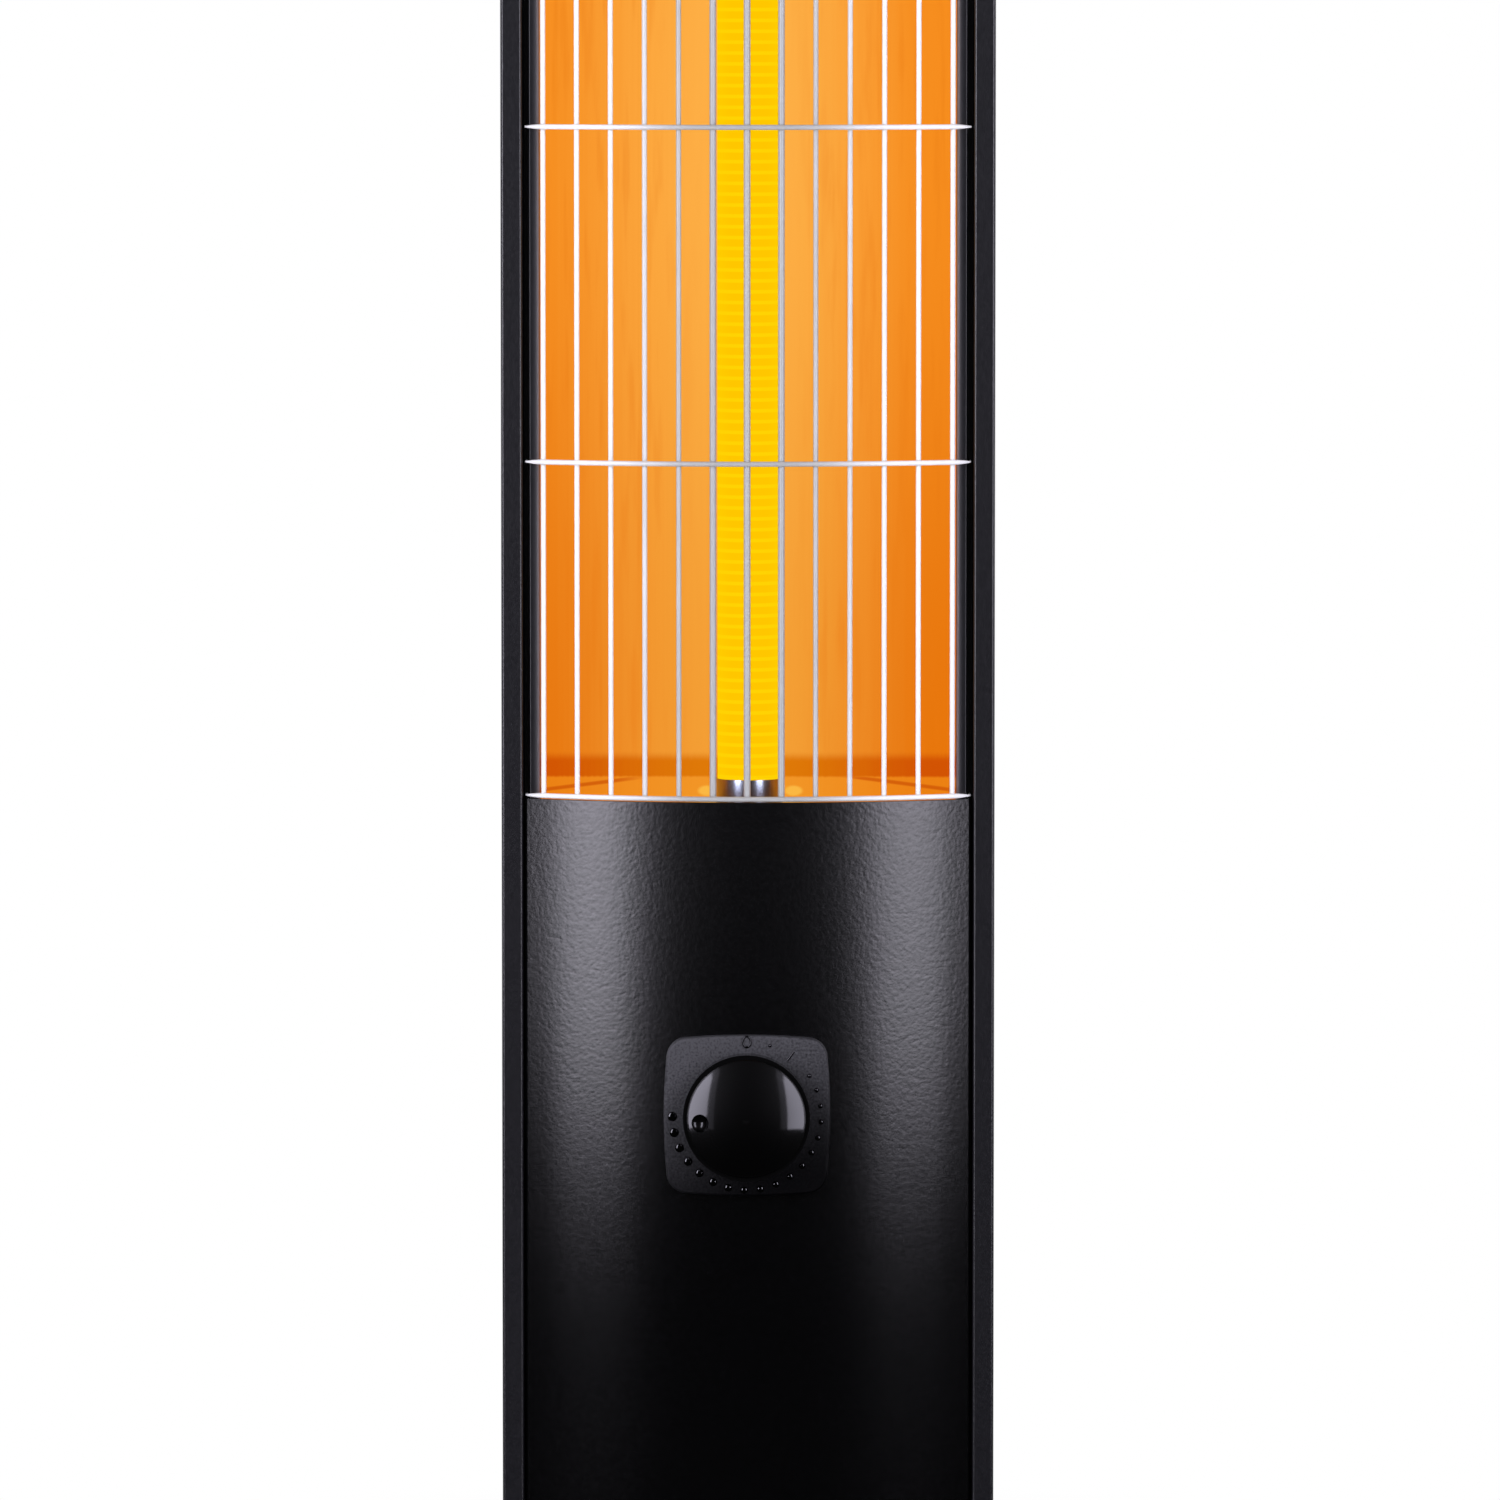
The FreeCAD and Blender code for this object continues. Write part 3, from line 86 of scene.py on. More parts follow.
print("frame:", len(frame["nodes"]), "nodes,", extent, "m")

# %% [markdown]
# The picture was taken with a long lens from almost four metres away, a little above the middle
# of the tower and a little to its right, so upright edges stay nearly parallel. The camera comes
# first because every later choice is judged through it. Its place was worked out from the
# crossings of the guard's wires and from the edges of the casing.

# %% The camera
FOCAL_LENGTH, SENSOR_WIDTH = 239.4, 36.0
PITCH, YAW = 0.07674, 0.0169
lens = bpy.data.cameras.new("studio_camera")
lens.lens = FOCAL_LENGTH
lens.sensor_width = SENSOR_WIDTH
camera = bpy.data.objects.new("studio_camera", lens)
camera.location = (0.0660, -3.886, 0.6455)
camera.rotation_euler = (math.pi / 2 - PITCH, 0.0, YAW)
bpy.context.scene.collection.objects.link(camera)
bpy.context.scene.camera = camera
print("camera at", [round(place, 3) for place in camera.location])

# %% [markdown]
# Finishes are node trees, and long sums are hard to read as nodes. This small class wraps one
# output socket, so that a sum in Python adds the Math nodes by itself. Any other node comes from
# its one method, which takes the settings first and then the values or links of the sockets.

# %% A socket that does sums
class Socket:
    """One output of a node tree, on which Python's operators add Math nodes."""

    def __init__(self, tree, end=None):
        self.tree, self.end = tree, end

    def node(self, kind, settings=None, sockets=None, out=0):
        """Adds a node: its settings first, then the values or links of its sockets."""
        made = self.tree.nodes.new(kind)
        for name, setting in (settings or {}).items():
            setattr(made, name, setting)
        for name, given in (sockets or {}).items():
            for one in given if isinstance(given, list) else [given]:
                if isinstance(one, Socket):
                    self.tree.links.new(one.end, made.inputs[name])
                else:
                    made.inputs[name].default_value = one
        return Socket(self.tree, made.outputs[out])

    def other(self, out):
        """Another output of the same node."""
        return Socket(self.tree, self.end.node.outputs[out])

    def math(self, operation, *terms):
        """A Math node on the terms, or on this socket alone."""
        sockets = dict(enumerate(terms or [self]))
        return self.node("ShaderNodeMath", {"operation": operation}, sockets)

    def __add__(self, other):
        return self.math("ADD", self, other)

    def __radd__(self, other):
        return self.math("ADD", other, self)

    def __sub__(self, other):
        return self.math("SUBTRACT", self, other)

    def __rsub__(self, other):
        return self.math("SUBTRACT", other, self)

    def __mul__(self, other):
        return self.math("MULTIPLY", self, other)

    def __rmul__(self, other):
        return self.math("MULTIPLY", other, self)

    def __truediv__(self, other):
        return self.math("DIVIDE", self, other)

    def __pow__(self, other):
        return self.math("POWER", self, other)

    def __gt__(self, other):
        return self.math("GREATER_THAN", self, other)

    def __abs__(self):
        return self.math("ABSOLUTE")


def xyz(vector):
    """The three parts of a vector socket."""
    first = vector.node("ShaderNodeSeparateXYZ", None, {0: vector})
    return first, first.other(1), first.other(2)


print("sums on sockets are ready")

# %% [markdown]
# Every finish starts from one Principled shader. What is the same all over is set on the
# shader's own sockets, and what changes over the surface is read from the piece's Object
# coordinates, which are metres here, so a grain can be given its real size.

# %% Helpers for finishes
def finish(name, constants):
    """A new material, its shader with the constants set, and the place on the piece."""
    material = bpy.data.materials.new(name)
    material.use_nodes = True
    tree = material.node_tree
    shader = tree.nodes["Principled BSDF"]
    for socket, constant in constants.items():
        shader.inputs[socket].default_value = constant
    return material, shader, Socket(tree).node("ShaderNodeTexCoord", out="Object")


def feed(shader, links):
    for name, given in links.items():
        given.tree.links.new(given.end, shader.inputs[name])


def noise(place, grain, detail=2.0, stretch=(1.0, 1.0, 1.0)):
    """Smooth random values from 0 to 1 whose spots are about one grain across, in metres."""
    spots = place.node("ShaderNodeVectorMath", {"operation": "MULTIPLY"}, {0: place, 1: stretch})
    sockets = {"Vector": spots, "Scale": 1 / grain, "Detail": detail}
    return place.node("ShaderNodeTexNoise", None, sockets)


def fade(value, start, end):
    """A smooth step from 0 at start to 1 at end."""
    sockets = {"Value": value, "From Min": start, "From Max": end}
    return value.node("ShaderNodeMapRange", {"interpolation_type": "SMOOTHSTEP"}, sockets)


def tint(share, low, high):
    """A colour that goes from low to high with the share; each is a colour or a socket."""
    ends = [end if isinstance(end, Socket) else (*end, 1.0) for end in (low, high)]
    sockets = {0: share, 6: ends[0], 7: ends[1]}
    return share.node("ShaderNodeMix", {"data_type": "RGBA"}, sockets, out=2)


def bump(height, distance):
    return height.node("ShaderNodeBump", None, {"Distance": distance, "Height": height})


finishes = {}
print("finish helpers are ready")

# %% [markdown]
# The casing and the base are metal under black powder coat. The powder melts into a fine orange
# peel, so the coat is satin and breaks every reflection into specks about a millimetre wide.
# A noise bump of that grain does it, and the same noise moves the roughness a little. Moulded
# plastic, rubber, ceramic and sleeving are the same finish with other colours and grains. The
# casing's inner lip gets a paler colour at its nose, for the light that the window throws on it.

# %% Satin coats
LIP_INNER, LIP_OUTER = 80.6 * MM, 84.8 * MM
LIP_FRONT, LIP_BACK = -22.0 * MM, -18.0 * MM


def powder(name, dark, light, gloss, grain, depth, lip_glow=0.0):
    material, shader, place = finish(name, {"Specular IOR Level": 0.5})
    specks = noise(place, grain, 1.0)
    clouds = noise(place, 50 * MM, 2.0)
    colour = tint(specks * 0.6 + clouds * 0.4, dark, light)
    if lip_glow:
        x, y, z = xyz(place)
        nose = (1 - fade(abs(x), LIP_INNER, LIP_OUTER)) * (1 - fade(y, LIP_FRONT, LIP_BACK))
        colour = tint(nose ** 3, colour, (lip_glow, lip_glow, lip_glow * 1.08))
    feed(shader, {
        "Base Color": colour,
        "Roughness": gloss + (specks - 0.5) * 0.10,
        "Normal": bump(specks, depth),
    })
    return material


BLACK_COAT = ((0.0032, 0.0032, 0.0042), (0.0054, 0.0054, 0.0070), 0.33, 1.4 * MM, 0.06 * MM)
coats = {
    "powder_coat": ("black_powder_coat", *BLACK_COAT),
    "black_plastic": ("black_moulded_plastic", (0.011, 0.011, 0.012), (0.021, 0.021, 0.023),
                      0.52, 0.8 * MM, 0.07 * MM),
    "phenolic": ("dark_phenolic", (0.045, 0.034, 0.027), (0.075, 0.056, 0.043),
                 0.48, 0.9 * MM, 0.06 * MM),
    "rubber": ("black_rubber", (0.022, 0.022, 0.022), (0.036, 0.036, 0.036),
               0.75, 1.1 * MM, 0.08 * MM),
    "white_plastic": ("white_moulded_plastic", (0.72, 0.72, 0.69), (0.82, 0.82, 0.80),
                      0.42, 1.2 * MM, 0.04 * MM),
    "white_ceramic": ("cream_ceramic", (0.74, 0.70, 0.63), (0.87, 0.84, 0.78),
                      0.62, 1.0 * MM, 0.08 * MM),
    "lead_sleeve": ("silicone_sleeve", (0.42, 0.11, 0.07), (0.58, 0.17, 0.11),
                    0.55, 1.2 * MM, 0.06 * MM),
}
for slot, coat in coats.items():
    finishes[slot] = powder(*coat)
casing_coat = powder("black_casing_coat", *BLACK_COAT, lip_glow=0.16)
print("satin finishes:", sorted(finishes), casing_coat.name)

# %% [markdown]
# The front cover has a smoother coat that shines more towards its foot, where its relief is weaker
# too. The dial's plate is a fine sparkling coat with painted light in its colour: it is lighter at
# its upper left and darker towards its lower right. Both follow the place on the piece, so they are
# trees of their own.

# %% Coats of the cover and the dial
FOOT_RELIEF = 0.28
cover_coat, shader, place = finish("black_cover_coat", {"Specular IOR Level": 0.5})
x, y, z = xyz(place)
specks = noise(place, 1.7 * MM, 1.0)
relief = FOOT_RELIEF + fade(z, 0.15, 0.34) * (1 - FOOT_RELIEF)
feed(shader, {
    "Base Color": tint(specks, (0.0003, 0.0003, 0.0004), (0.0008, 0.0008, 0.0010)),
    "Roughness": 0.13 + fade(z, 0.10, 0.33) * 0.12 + (specks - 0.5) * 0.06,
    "Normal": bump(specks * relief, 0.06 * MM),
})

dial_low, dial_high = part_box("dial_plate")
DIAL_Z = (dial_low.z + dial_high.z) / 2
dial_coat, shader, place = finish("black_dial_plate", {"Specular IOR Level": 0.06})
x, y, z = xyz(place)
sparks = noise(place, 0.9 * MM, 1.0)
# painted light: the plate's colour is lighter towards its upper left and darker towards its lower
# right
painted_light_share = fade(z - DIAL_Z - x * 0.35, -34 * MM, 44 * MM)
lit = (0.050, 0.050, 0.054)
feed(shader, {
    "Base Color": tint(painted_light_share * (sparks * 2.0), (0.0008, 0.0008, 0.0010), lit),
    "Roughness": 0.46 + (sparks - 0.5) * 0.3,
    "Normal": bump(sparks, 0.06 * MM),
})
print("front finishes:", cover_coat.name, dial_coat.name)

# %% [markdown]
# The knob and the raised marks of the dial are polished black plastic. Polish hides the colour and
# shows the room, so the finish is almost black with a low roughness, and faint handling marks lift
# the roughness here and there. The knob's colour carries a painted sheen: it is paler towards its
# edge, so that the knob mirrors more there, and darker in its middle. Its shading normal, not its
# shape, leans by a few degrees, so that the reflections sit low on the dome. A rough coat lays a
# faint haze over it.

# %% Polished black plastic
def polished(name, constants):
    """A polish with faint handling marks."""
    material, shader, place = finish(name, {"Metallic": 1.0, **constants})
    smudges = noise(place, 14 * MM, 3.0)
    feed(shader, {"Roughness": 0.08 + fade(smudges, 0.45, 0.75) * 0.06})
    return material, shader, place


MARK_BLACK = (0.042, 0.042, 0.044, 1.0)
finishes["gloss_black"] = polished("polished_black", {"Base Color": MARK_BLACK})[0]

LEAN = math.radians(4.9)
knob_black, shader, place = polished("knob_black", {"Coat Weight": 0.12, "Coat Roughness": 0.45})
x, y, z = xyz(place)
from_axis = (x * x + (z - DIAL_Z) * (z - DIAL_Z)) ** 0.5
# painted sheen: the knob's colour is paler towards its edge and darker in its middle
outwards = fade(from_axis, 9 * MM, 24 * MM)
feed(shader, {
    "Base Color": tint(outwards, (0.0085, 0.0085, 0.0088), (0.023, 0.023, 0.024)),
    "Normal": bump(0 - z, math.tan(LEAN)),
})
print("polished finishes:", finishes["gloss_black"].name, knob_black.name)

# %% [markdown]
# Sheet steel and brass are metals that vary a little in colour and roughness, as rolled metal
# does. The guard's wire is plated white and smooth. Its colour is paler out at the sides, where
# the real wire takes more of the soft light. The tube's end sleeves are dark, bluish chrome, which
# holds the amber of the window down and lets each soft box draw one pale upright shine.

# %% Plated wire, steel and brass
def metal(name, dark, light, shine, draw):
    """A metal whose grain is drawn out upwards; a smaller draw makes it longer."""
    material, shader, place = finish(name, {"Metallic": 1.0})
    drawn = noise(place, 1.5 * MM, 2.0, (1.0, 1.0, draw))
    feed(shader, {
        "Base Color": tint(drawn, dark, light),
        "Roughness": shine + (drawn - 0.5) * 0.14,
        "Normal": bump(drawn, 0.01 * MM),
    })
    return material


finishes["steel"] = metal("bright_steel", (0.50, 0.50, 0.52), (0.66, 0.66, 0.68), 0.30, 0.2)
finishes["brass"] = metal("plain_brass", (0.62, 0.47, 0.20), (0.78, 0.62, 0.32), 0.32, 0.4)

material, shader, place = finish("plated_wire", {"Roughness": 0.34, "Specular IOR Level": 0.5})
x, y, z = xyz(place)
# painted light: the wire's colour is paler out at the sides and darker in the middle; this noise
# makes the edge of that light uneven
light_edge_noise = noise(place, 30 * MM, 1.0)
outer = fade(abs(x) + (light_edge_noise - 0.5) * (10 * MM), 15 * MM, 65 * MM)
feed(shader, {"Base Color": tint(outer, (0.300, 0.308, 0.297), (0.65, 0.66, 0.655))})
finishes["plated_wire"] = material

ferrule_chrome, shader, place = finish("dark_chrome", {"Metallic": 1.0})
turned = noise(place, 4 * MM, 2.0, (1.0, 1.0, 0.05))
feed(shader, {
    "Base Color": tint(turned, (0.32, 0.37, 0.48), (0.44, 0.50, 0.62)),
    "Roughness": 0.18 + turned * 0.10,
})
print("metal finishes:", [finishes[slot].name for slot in ("steel", "brass", "plated_wire")])

# %% [markdown]
# In use the whole window glows. The tube throws amber light on the bright sheet behind it, most
# beside the tube and least at the sides and ends, with upright streaks from the rolling. That light
# is painted on the sheet as an emission colour by place, so the sheet glows though it only
# reflects: it is the same from every side and needs no long light paths.

# %% Glow of the reflector
GLOWING = {"Base Color": (0.02, 0.006, 0.001, 1.0), "Roughness": 0.5,
           "Specular IOR Level": 0.0, "Emission Strength": 1.0}
window_low, window_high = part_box("reflector")
HALF_WINDOW = window_high.x
MIDDLE_Z = (window_low.z + window_high.z) / 2
HALF_HEIGHT = (window_high.z - window_low.z) / 2

# painted light: the tube's light on the sheet is its emission colour
material, reflector_shader, place = finish("glowing_reflector", GLOWING)
x, y, z = xyz(place)
aside = abs(x) / HALF_WINDOW + x / HALF_WINDOW * 0.10
fine = noise(place, 1.6 * MM, 2.0, (1.0, 1.0, 0.004)) - 0.5
beside_tube = 1 - fade(aside + fine * 0.12, 0.12, 1.0)
from_end = HALF_HEIGHT - abs(z - MIDDLE_Z)
inner = tint(beside_tube, (0.90, 0.262, 0.0125), (0.965, 0.423, 0.060))
outer = tint(beside_tube, (0.785, 0.178, 0.003), (0.880, 0.340, 0.035))
plain = tint(fade(from_end, 0.02, 0.26), outer, inner)
grain = noise(place, 4.5 * MM, 3.0, (1.0, 1.0, 0.09))
streaks = fade(grain, 0.46, 0.72) * 0.30 * fade(aside, 0.15, 0.5)
lit = tint(streaks, plain, (0.80, 0.19, 0.005))
finishes["bright_reflector"] = material
print("window from", round(window_low.z, 4), "to", round(window_high.z, 4))

# %% [markdown]
# At its foot the sheet mirrors the floor plate: a dark band, and under it the paler floor with
# two spots beside the tube and a brown streak that runs up from each side. The shader doesn't
# mirror it: the image is drawn by place as part of the glow, so it stays where it is in every
# view. Its lines sink towards the back by a slope that is the tangent of the camera's pitch,
# which makes them look level from the front.

# %% The reflector's foot
SLOPE = 0.0769
BAND_TOP, FLOOR_LINE, FLOOR_FRONT = (0.3440, 0.3485), (0.3376, 0.3388), (0.3280, 0.3287)
STREAK_Z, STREAK_RISE = 0.3330, 0.128
SPOT_X, SPOT_Z, SPOT_WIDTH, SPOT_HEIGHT = 17 * MM, 0.3326, 4.0 * MM, 2.3 * MM

level = z + (y - window_low.y) * SLOPE
band = tint(beside_tube, (0.63, 0.083, 0.0003), (0.72, 0.190, 0.002))
pale = tint(beside_tube, (0.82, 0.215, 0.006), (0.87, 0.300, 0.020))
below = 1 - fade(level + fine * (0.6 * MM), *FLOOR_LINE)
streak = abs(level - STREAK_Z - (HALF_WINDOW - abs(x)) * STREAK_RISE)
brown = (1 - fade(streak, 0.3 * MM, 1.1 * MM)) * below * fade(aside, 0.42, 0.60) * 0.8
streaked = tint(brown, pale, (0.60, 0.085, 0.001))
spot = (((abs(x) - SPOT_X) / SPOT_WIDTH) ** 2 + ((level - SPOT_Z) / SPOT_HEIGHT) ** 2) ** 0.5
floor_image = tint(1 - fade(spot, 0.6, 1.1), streaked, (0.945, 0.475, 0.056))
hidden = 1 - fade(level, *FLOOR_FRONT)
foot = tint(hidden, tint(below, band, floor_image), (0.010, 0.003, 0.001))
above = fade(level + fine * (1.0 * MM), *BAND_TOP)
feed(reflector_shader, {"Emission Color": tint(above, foot, lit)})
print("mirror band up to", BAND_TOP[1], "m")

# %% [markdown]
# The end plates close the window below and above. The tube's light on them is painted as an
# emission colour, brightest round the tube's sleeve, and their colour darkens towards the front, a
# painted shade for the cover's rim.

# %% Glow of the end plates
tube_low, tube_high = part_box("quartz_tube")
TUBE_Y = (tube_low.y + tube_high.y) / 2
plate_glow, shader, place = finish("glowing_end_plate", GLOWING)
x, y, z = xyz(place)
# painted light: the tube's glow on the plates, brightest round its sleeve
from_tube = (x * x + (y - TUBE_Y) * (y - TUBE_Y)) ** 0.5
near = 1 - fade(from_tube, 13 * MM, 30 * MM)
# painted shade: darker towards the front, for the shade of the cover's rim
shaded = (1 - fade(y, -14 * MM, 14 * MM)) * 0.85
glow = tint(near, (0.84, 0.275, 0.014), (0.95, 0.48, 0.056))
feed(shader, {"Emission Color": tint(shaded, glow, (0.12, 0.030, 0.002))})
print("end plates glow round the tube at y =", round(TUBE_Y, 4))

# %% [markdown]
# The quartz tube is so bright that it looks like one flat amber band, with a slightly paler ring
# at each turn of the wire inside. The rings are a wave along the tube's height. It is left
# opaque, because the glow hides the inside of a real one too.

# %% Glowing quartz and hot wire
RING_PITCH = 4.2 * MM
material, shader, place = finish("glowing_quartz", {
    "Base Color": (0.02, 0.01, 0.0, 1.0), "Roughness": 0.25, "Specular IOR Level": 0.0,
    "Emission Strength": 1.0})
x, y, z = xyz(place)
wave = (z * (2 * math.pi / RING_PITCH)).math("SINE")
ring = fade(wave, 0.25, 0.75)
rim = fade(abs(x), 6.0 * MM, 12.3 * MM)
amber = tint(rim, (0.985, 0.556, 0.0), (0.985, 0.590, 0.0))
feed(shader, {"Emission Color": tint(ring, amber, (1.0, 0.636, 0.001))})
finishes["quartz"] = material

material, shader, place = finish("hot_wire", {
    "Base Color": (0.2, 0.1, 0.02, 1.0), "Roughness": 0.5, "Emission Strength": 1.0})
uneven = noise(place, 20 * MM)
feed(shader, {"Emission Color": tint(uneven, (1.0, 0.60, 0.03), (1.0, 0.72, 0.08))})
finishes["hot_coil"] = material
print("hot finishes:", finishes["quartz"].name, finishes["hot_coil"].name)

# %% [markdown]
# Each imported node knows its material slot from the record, so one loop gives every node its
# finish. The casing, the covers, the end plates, the ferrules, the knob and the dial's plate
# have a finish of their own within their slot, because on the real heater they look different
# from the other pieces of that slot.

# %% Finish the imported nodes
own_finish = {
    "rear_casing": casing_coat,
    "lower_front_cover": cover_coat, "upper_front_cover": cover_coat,
    "lower_end_plate": plate_glow, "upper_end_plate": plate_glow,
    "lower_ferrule": ferrule_chrome, "upper_ferrule": ferrule_chrome,
    "knob": knob_black, "dial_plate": dial_coat,
}
slot_of = {row["node"]: row["material_slot"] for row in frame["record"]["subparts"]}
finish_of = {node: own_finish.get(node, finishes[slot]) for node, slot in slot_of.items()}
for node, coat in finish_of.items():
    frame["nodes"][node].data.materials.clear()
    frame["nodes"][node].data.materials.append(coat)
print("finished", len(finish_of), "nodes")

# %% [markdown]
# Sheet and moulded caps have small round edges, and those edges are what draws the thin bright
# lines along the rails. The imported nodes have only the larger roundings, so a copy of each shell
# is merged, its flat faces are joined, and a Bevel modifier rounds the edges that are still
# sharp. Weighted normals keep the large faces flat to the eye.

# %% Shells with softened edges
MERGE_DISTANCE = 0.002 * MM
FLAT_ANGLE, SHARP_ANGLE = math.radians(0.2), math.radians(35)


def settled(piece):
    """Turns what the modifiers make into the piece's own plain mesh."""
    graph = bpy.context.evaluated_depsgraph_get()
    mesh = bpy.data.meshes.new_from_object(piece.evaluated_get(graph))
    mesh.name = piece.name
    piece.modifiers.clear()
    piece.data = mesh
    return piece


def placed(piece, body, slot, *nodes):
    """Says which body the piece rides on and the nodes that it stands for; slot is not used."""
    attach(piece, body)
    if nodes:
        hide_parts(*nodes)
    return piece


def softened(node, edge):
    mesh = frame["nodes"][node].data.copy()
    for name in ("custom_normal", "sharp_edge", "sharp_face"):
        if name in mesh.attributes:
            mesh.attributes.remove(mesh.attributes[name])
    work = bmesh.new()
    work.from_mesh(mesh)
    bmesh.ops.remove_doubles(work, verts=work.verts, dist=MERGE_DISTANCE)
    bmesh.ops.dissolve_limit(work, angle_limit=FLAT_ANGLE, verts=work.verts, edges=work.edges)
    work.to_mesh(mesh)
    work.free()
    piece = bpy.data.objects.new(node + "_shell", mesh)
    bpy.context.scene.collection.objects.link(piece)
    mesh.shade_smooth()
    rounding = piece.modifiers.new("edges", "BEVEL")
    rounding.width = edge
    rounding.segments = 2
    rounding.limit_method = "ANGLE"
    rounding.angle_limit = SHARP_ANGLE
    rounding.use_clamp_overlap = False
    piece.modifiers.new("flat_faces", "WEIGHTED_NORMAL").keep_sharp = True
    return placed(settled(piece), "tower", slot_of[node], node)


soft_edges = {
    "rear_casing": 0.5 * MM, "lower_front_cover": 0.3 * MM, "upper_front_cover": 0.3 * MM,
    "top_cap": 0.4 * MM, "base_plate": 0.4 * MM,
}
for node, edge in soft_edges.items():
    shell = softened(node, edge)
    print(shell.name, len(shell.data.polygons), "faces")

# %% [markdown]
# Geometry Nodes make what repeats. These two helpers open a tree with a named input for each of
# its sizes, and close it: instances are realized, the finish is set, the inputs are filled by
# their identifiers, and the result becomes a plain mesh.

# %% Helpers for Geometry Nodes
def open_tree(name, sizes):
    """A new tree, a socket to start from, and a socket for each named size."""
    tree = bpy.data.node_groups.new(name, "GeometryNodeTree")
    for label, size in sizes.items():
        kind = "NodeSocketInt" if isinstance(size, int) else "NodeSocketFloat"
        tree.interface.new_socket(label, in_out="INPUT", socket_type=kind)
    tree.interface.new_socket("Geometry", in_out="OUTPUT", socket_type="NodeSocketGeometry")
    entry = tree.nodes.new("NodeGroupInput")
    return Socket(tree), {label: Socket(tree, entry.outputs[label]) for label in sizes}


def grown(name, start, sizes, parts, coat):
    """Closes the tree over its parts and returns the finished piece as a plain mesh object."""
    whole = start.node("GeometryNodeJoinGeometry", None, {"Geometry": parts})
    real = start.node("GeometryNodeRealizeInstances", None, {"Geometry": whole})
    smooth = start.node("GeometryNodeSetShadeSmooth", None, {"Geometry": real})
    painted = start.node("GeometryNodeSetMaterial", None, {"Geometry": smooth, "Material": coat})
    ending = start.tree.nodes.new("NodeGroupOutput")
    start.tree.links.new(painted.end, ending.inputs["Geometry"])
    piece = bpy.data.objects.new(name, bpy.data.meshes.new(name))
    bpy.context.scene.collection.objects.link(piece)
    growth = piece.modifiers.new("growth", "NODES")
    growth.node_group = start.tree
    for item in start.tree.interface.items_tree:
        if item.in_out == "INPUT":
            growth[item.identifier] = sizes[item.name]
    settled(piece)
    print(name, len(piece.data.polygons), "faces")
    return piece


def point(start, x=0.0, y=0.0, z=0.0):
    return start.node("ShaderNodeCombineXYZ", None, {0: x, 1: y, 2: z})


def ball(start, segments, rings, radius):
    sockets = {"Segments": segments, "Rings": rings, "Radius": radius}
    return start.node("GeometryNodeMeshUVSphere", None, sockets)


def wire_along(start, curve, diameter, sides=12, swell=1.0):
    """A round wire along a curve, closed at its ends; the swell scales it from place to place."""
    sockets = {"Resolution": sides, "Radius": diameter / 2}
    ring = start.node("GeometryNodeCurvePrimitiveCircle", None, sockets)
    sockets = {"Curve": curve, "Profile Curve": ring, "Fill Caps": True, "Scale": swell}
    return start.node("GeometryNodeCurveToMesh", None, sockets)


def row(start, count, first, step):
    """A row of loose points."""
    sockets = {"Count": count, "Start Location": first, "Offset": step}
    return start.node("GeometryNodeMeshLine", None, sockets)


def moved_to(start, points, position):
    sockets = {"Geometry": points, "Position": position}
    return start.node("GeometryNodeSetPosition", None, sockets)


def transformed(start, thing, **sockets):
    """The thing after the given Translation, Rotation or Scale."""
    return start.node("GeometryNodeTransform", None, {"Geometry": thing, **sockets})


def at_points(start, points, thing, scale=(1.0, 1.0, 1.0)):
    sockets = {"Points": points, "Instance": thing, "Scale": scale}
    return start.node("GeometryNodeInstanceOnPoints", None, sockets)


print("tree helpers are ready")

# %% [markdown]
# The guard is drawn wire. Thirteen uprights stand on an arc, the middle three a little thicker,
# and seven bowed cross wires are welded in front of them, with their ends turned back into the
# rails' grooves. All of it follows one rule, the bow's radius, so the tree bends straight rows of
# points onto that arc. Each crossing gets a small weld nugget, as resistance welding leaves one.

# %% The guard's sizes and uprights
guard_low, guard_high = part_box("guard_grille")
cover_low, cover_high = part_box("lower_front_cover")
BULGE = 20.0 * MM
cover_radius = (cover_high.x ** 2 + BULGE ** 2) / (2 * BULGE)
WIRE = 2.0 * MM
UPRIGHTS = 13
EDGE_MARGIN = 1.3 * MM
guard_sizes = {
    "Wire": WIRE, "Uprights": UPRIGHTS, "Cross Wires": 7, "Bay": 129.5 * MM,
    "Upright Pitch": 2 * (HALF_WINDOW - EDGE_MARGIN) / (UPRIGHTS - 1),
    "Bow Radius": cover_radius - WIRE / 2, "Bow Axis": cover_low.y + cover_radius,
    "Weld Sink": 0.5 * MM, "Leg Out": guard_high.x - WIRE / 2, "Leg Back": guard_high.y,
    "Elbow": 2.6 * MM, "Foot": guard_low.z, "Head": guard_high.z, "Upright Cut": 0.5 * MM,
    "Tip": 0.45, "Tip Length": 5.0 * MM, "Middle Growth": 0.3,
}
start, size = open_tree("wire_guard", guard_sizes)


def bow_depth(x, radius):
    """How far back the arc of that radius lies at x."""
    return size["Bow Axis"] - (radius * radius - x * x) ** 0.5


def bowed(points, radius):
    """Moves a row of points onto the arc of that radius."""
    x, y, z = xyz(start.node("GeometryNodeInputPosition"))
    return moved_to(start, points, point(start, x, bow_depth(x, radius), z))


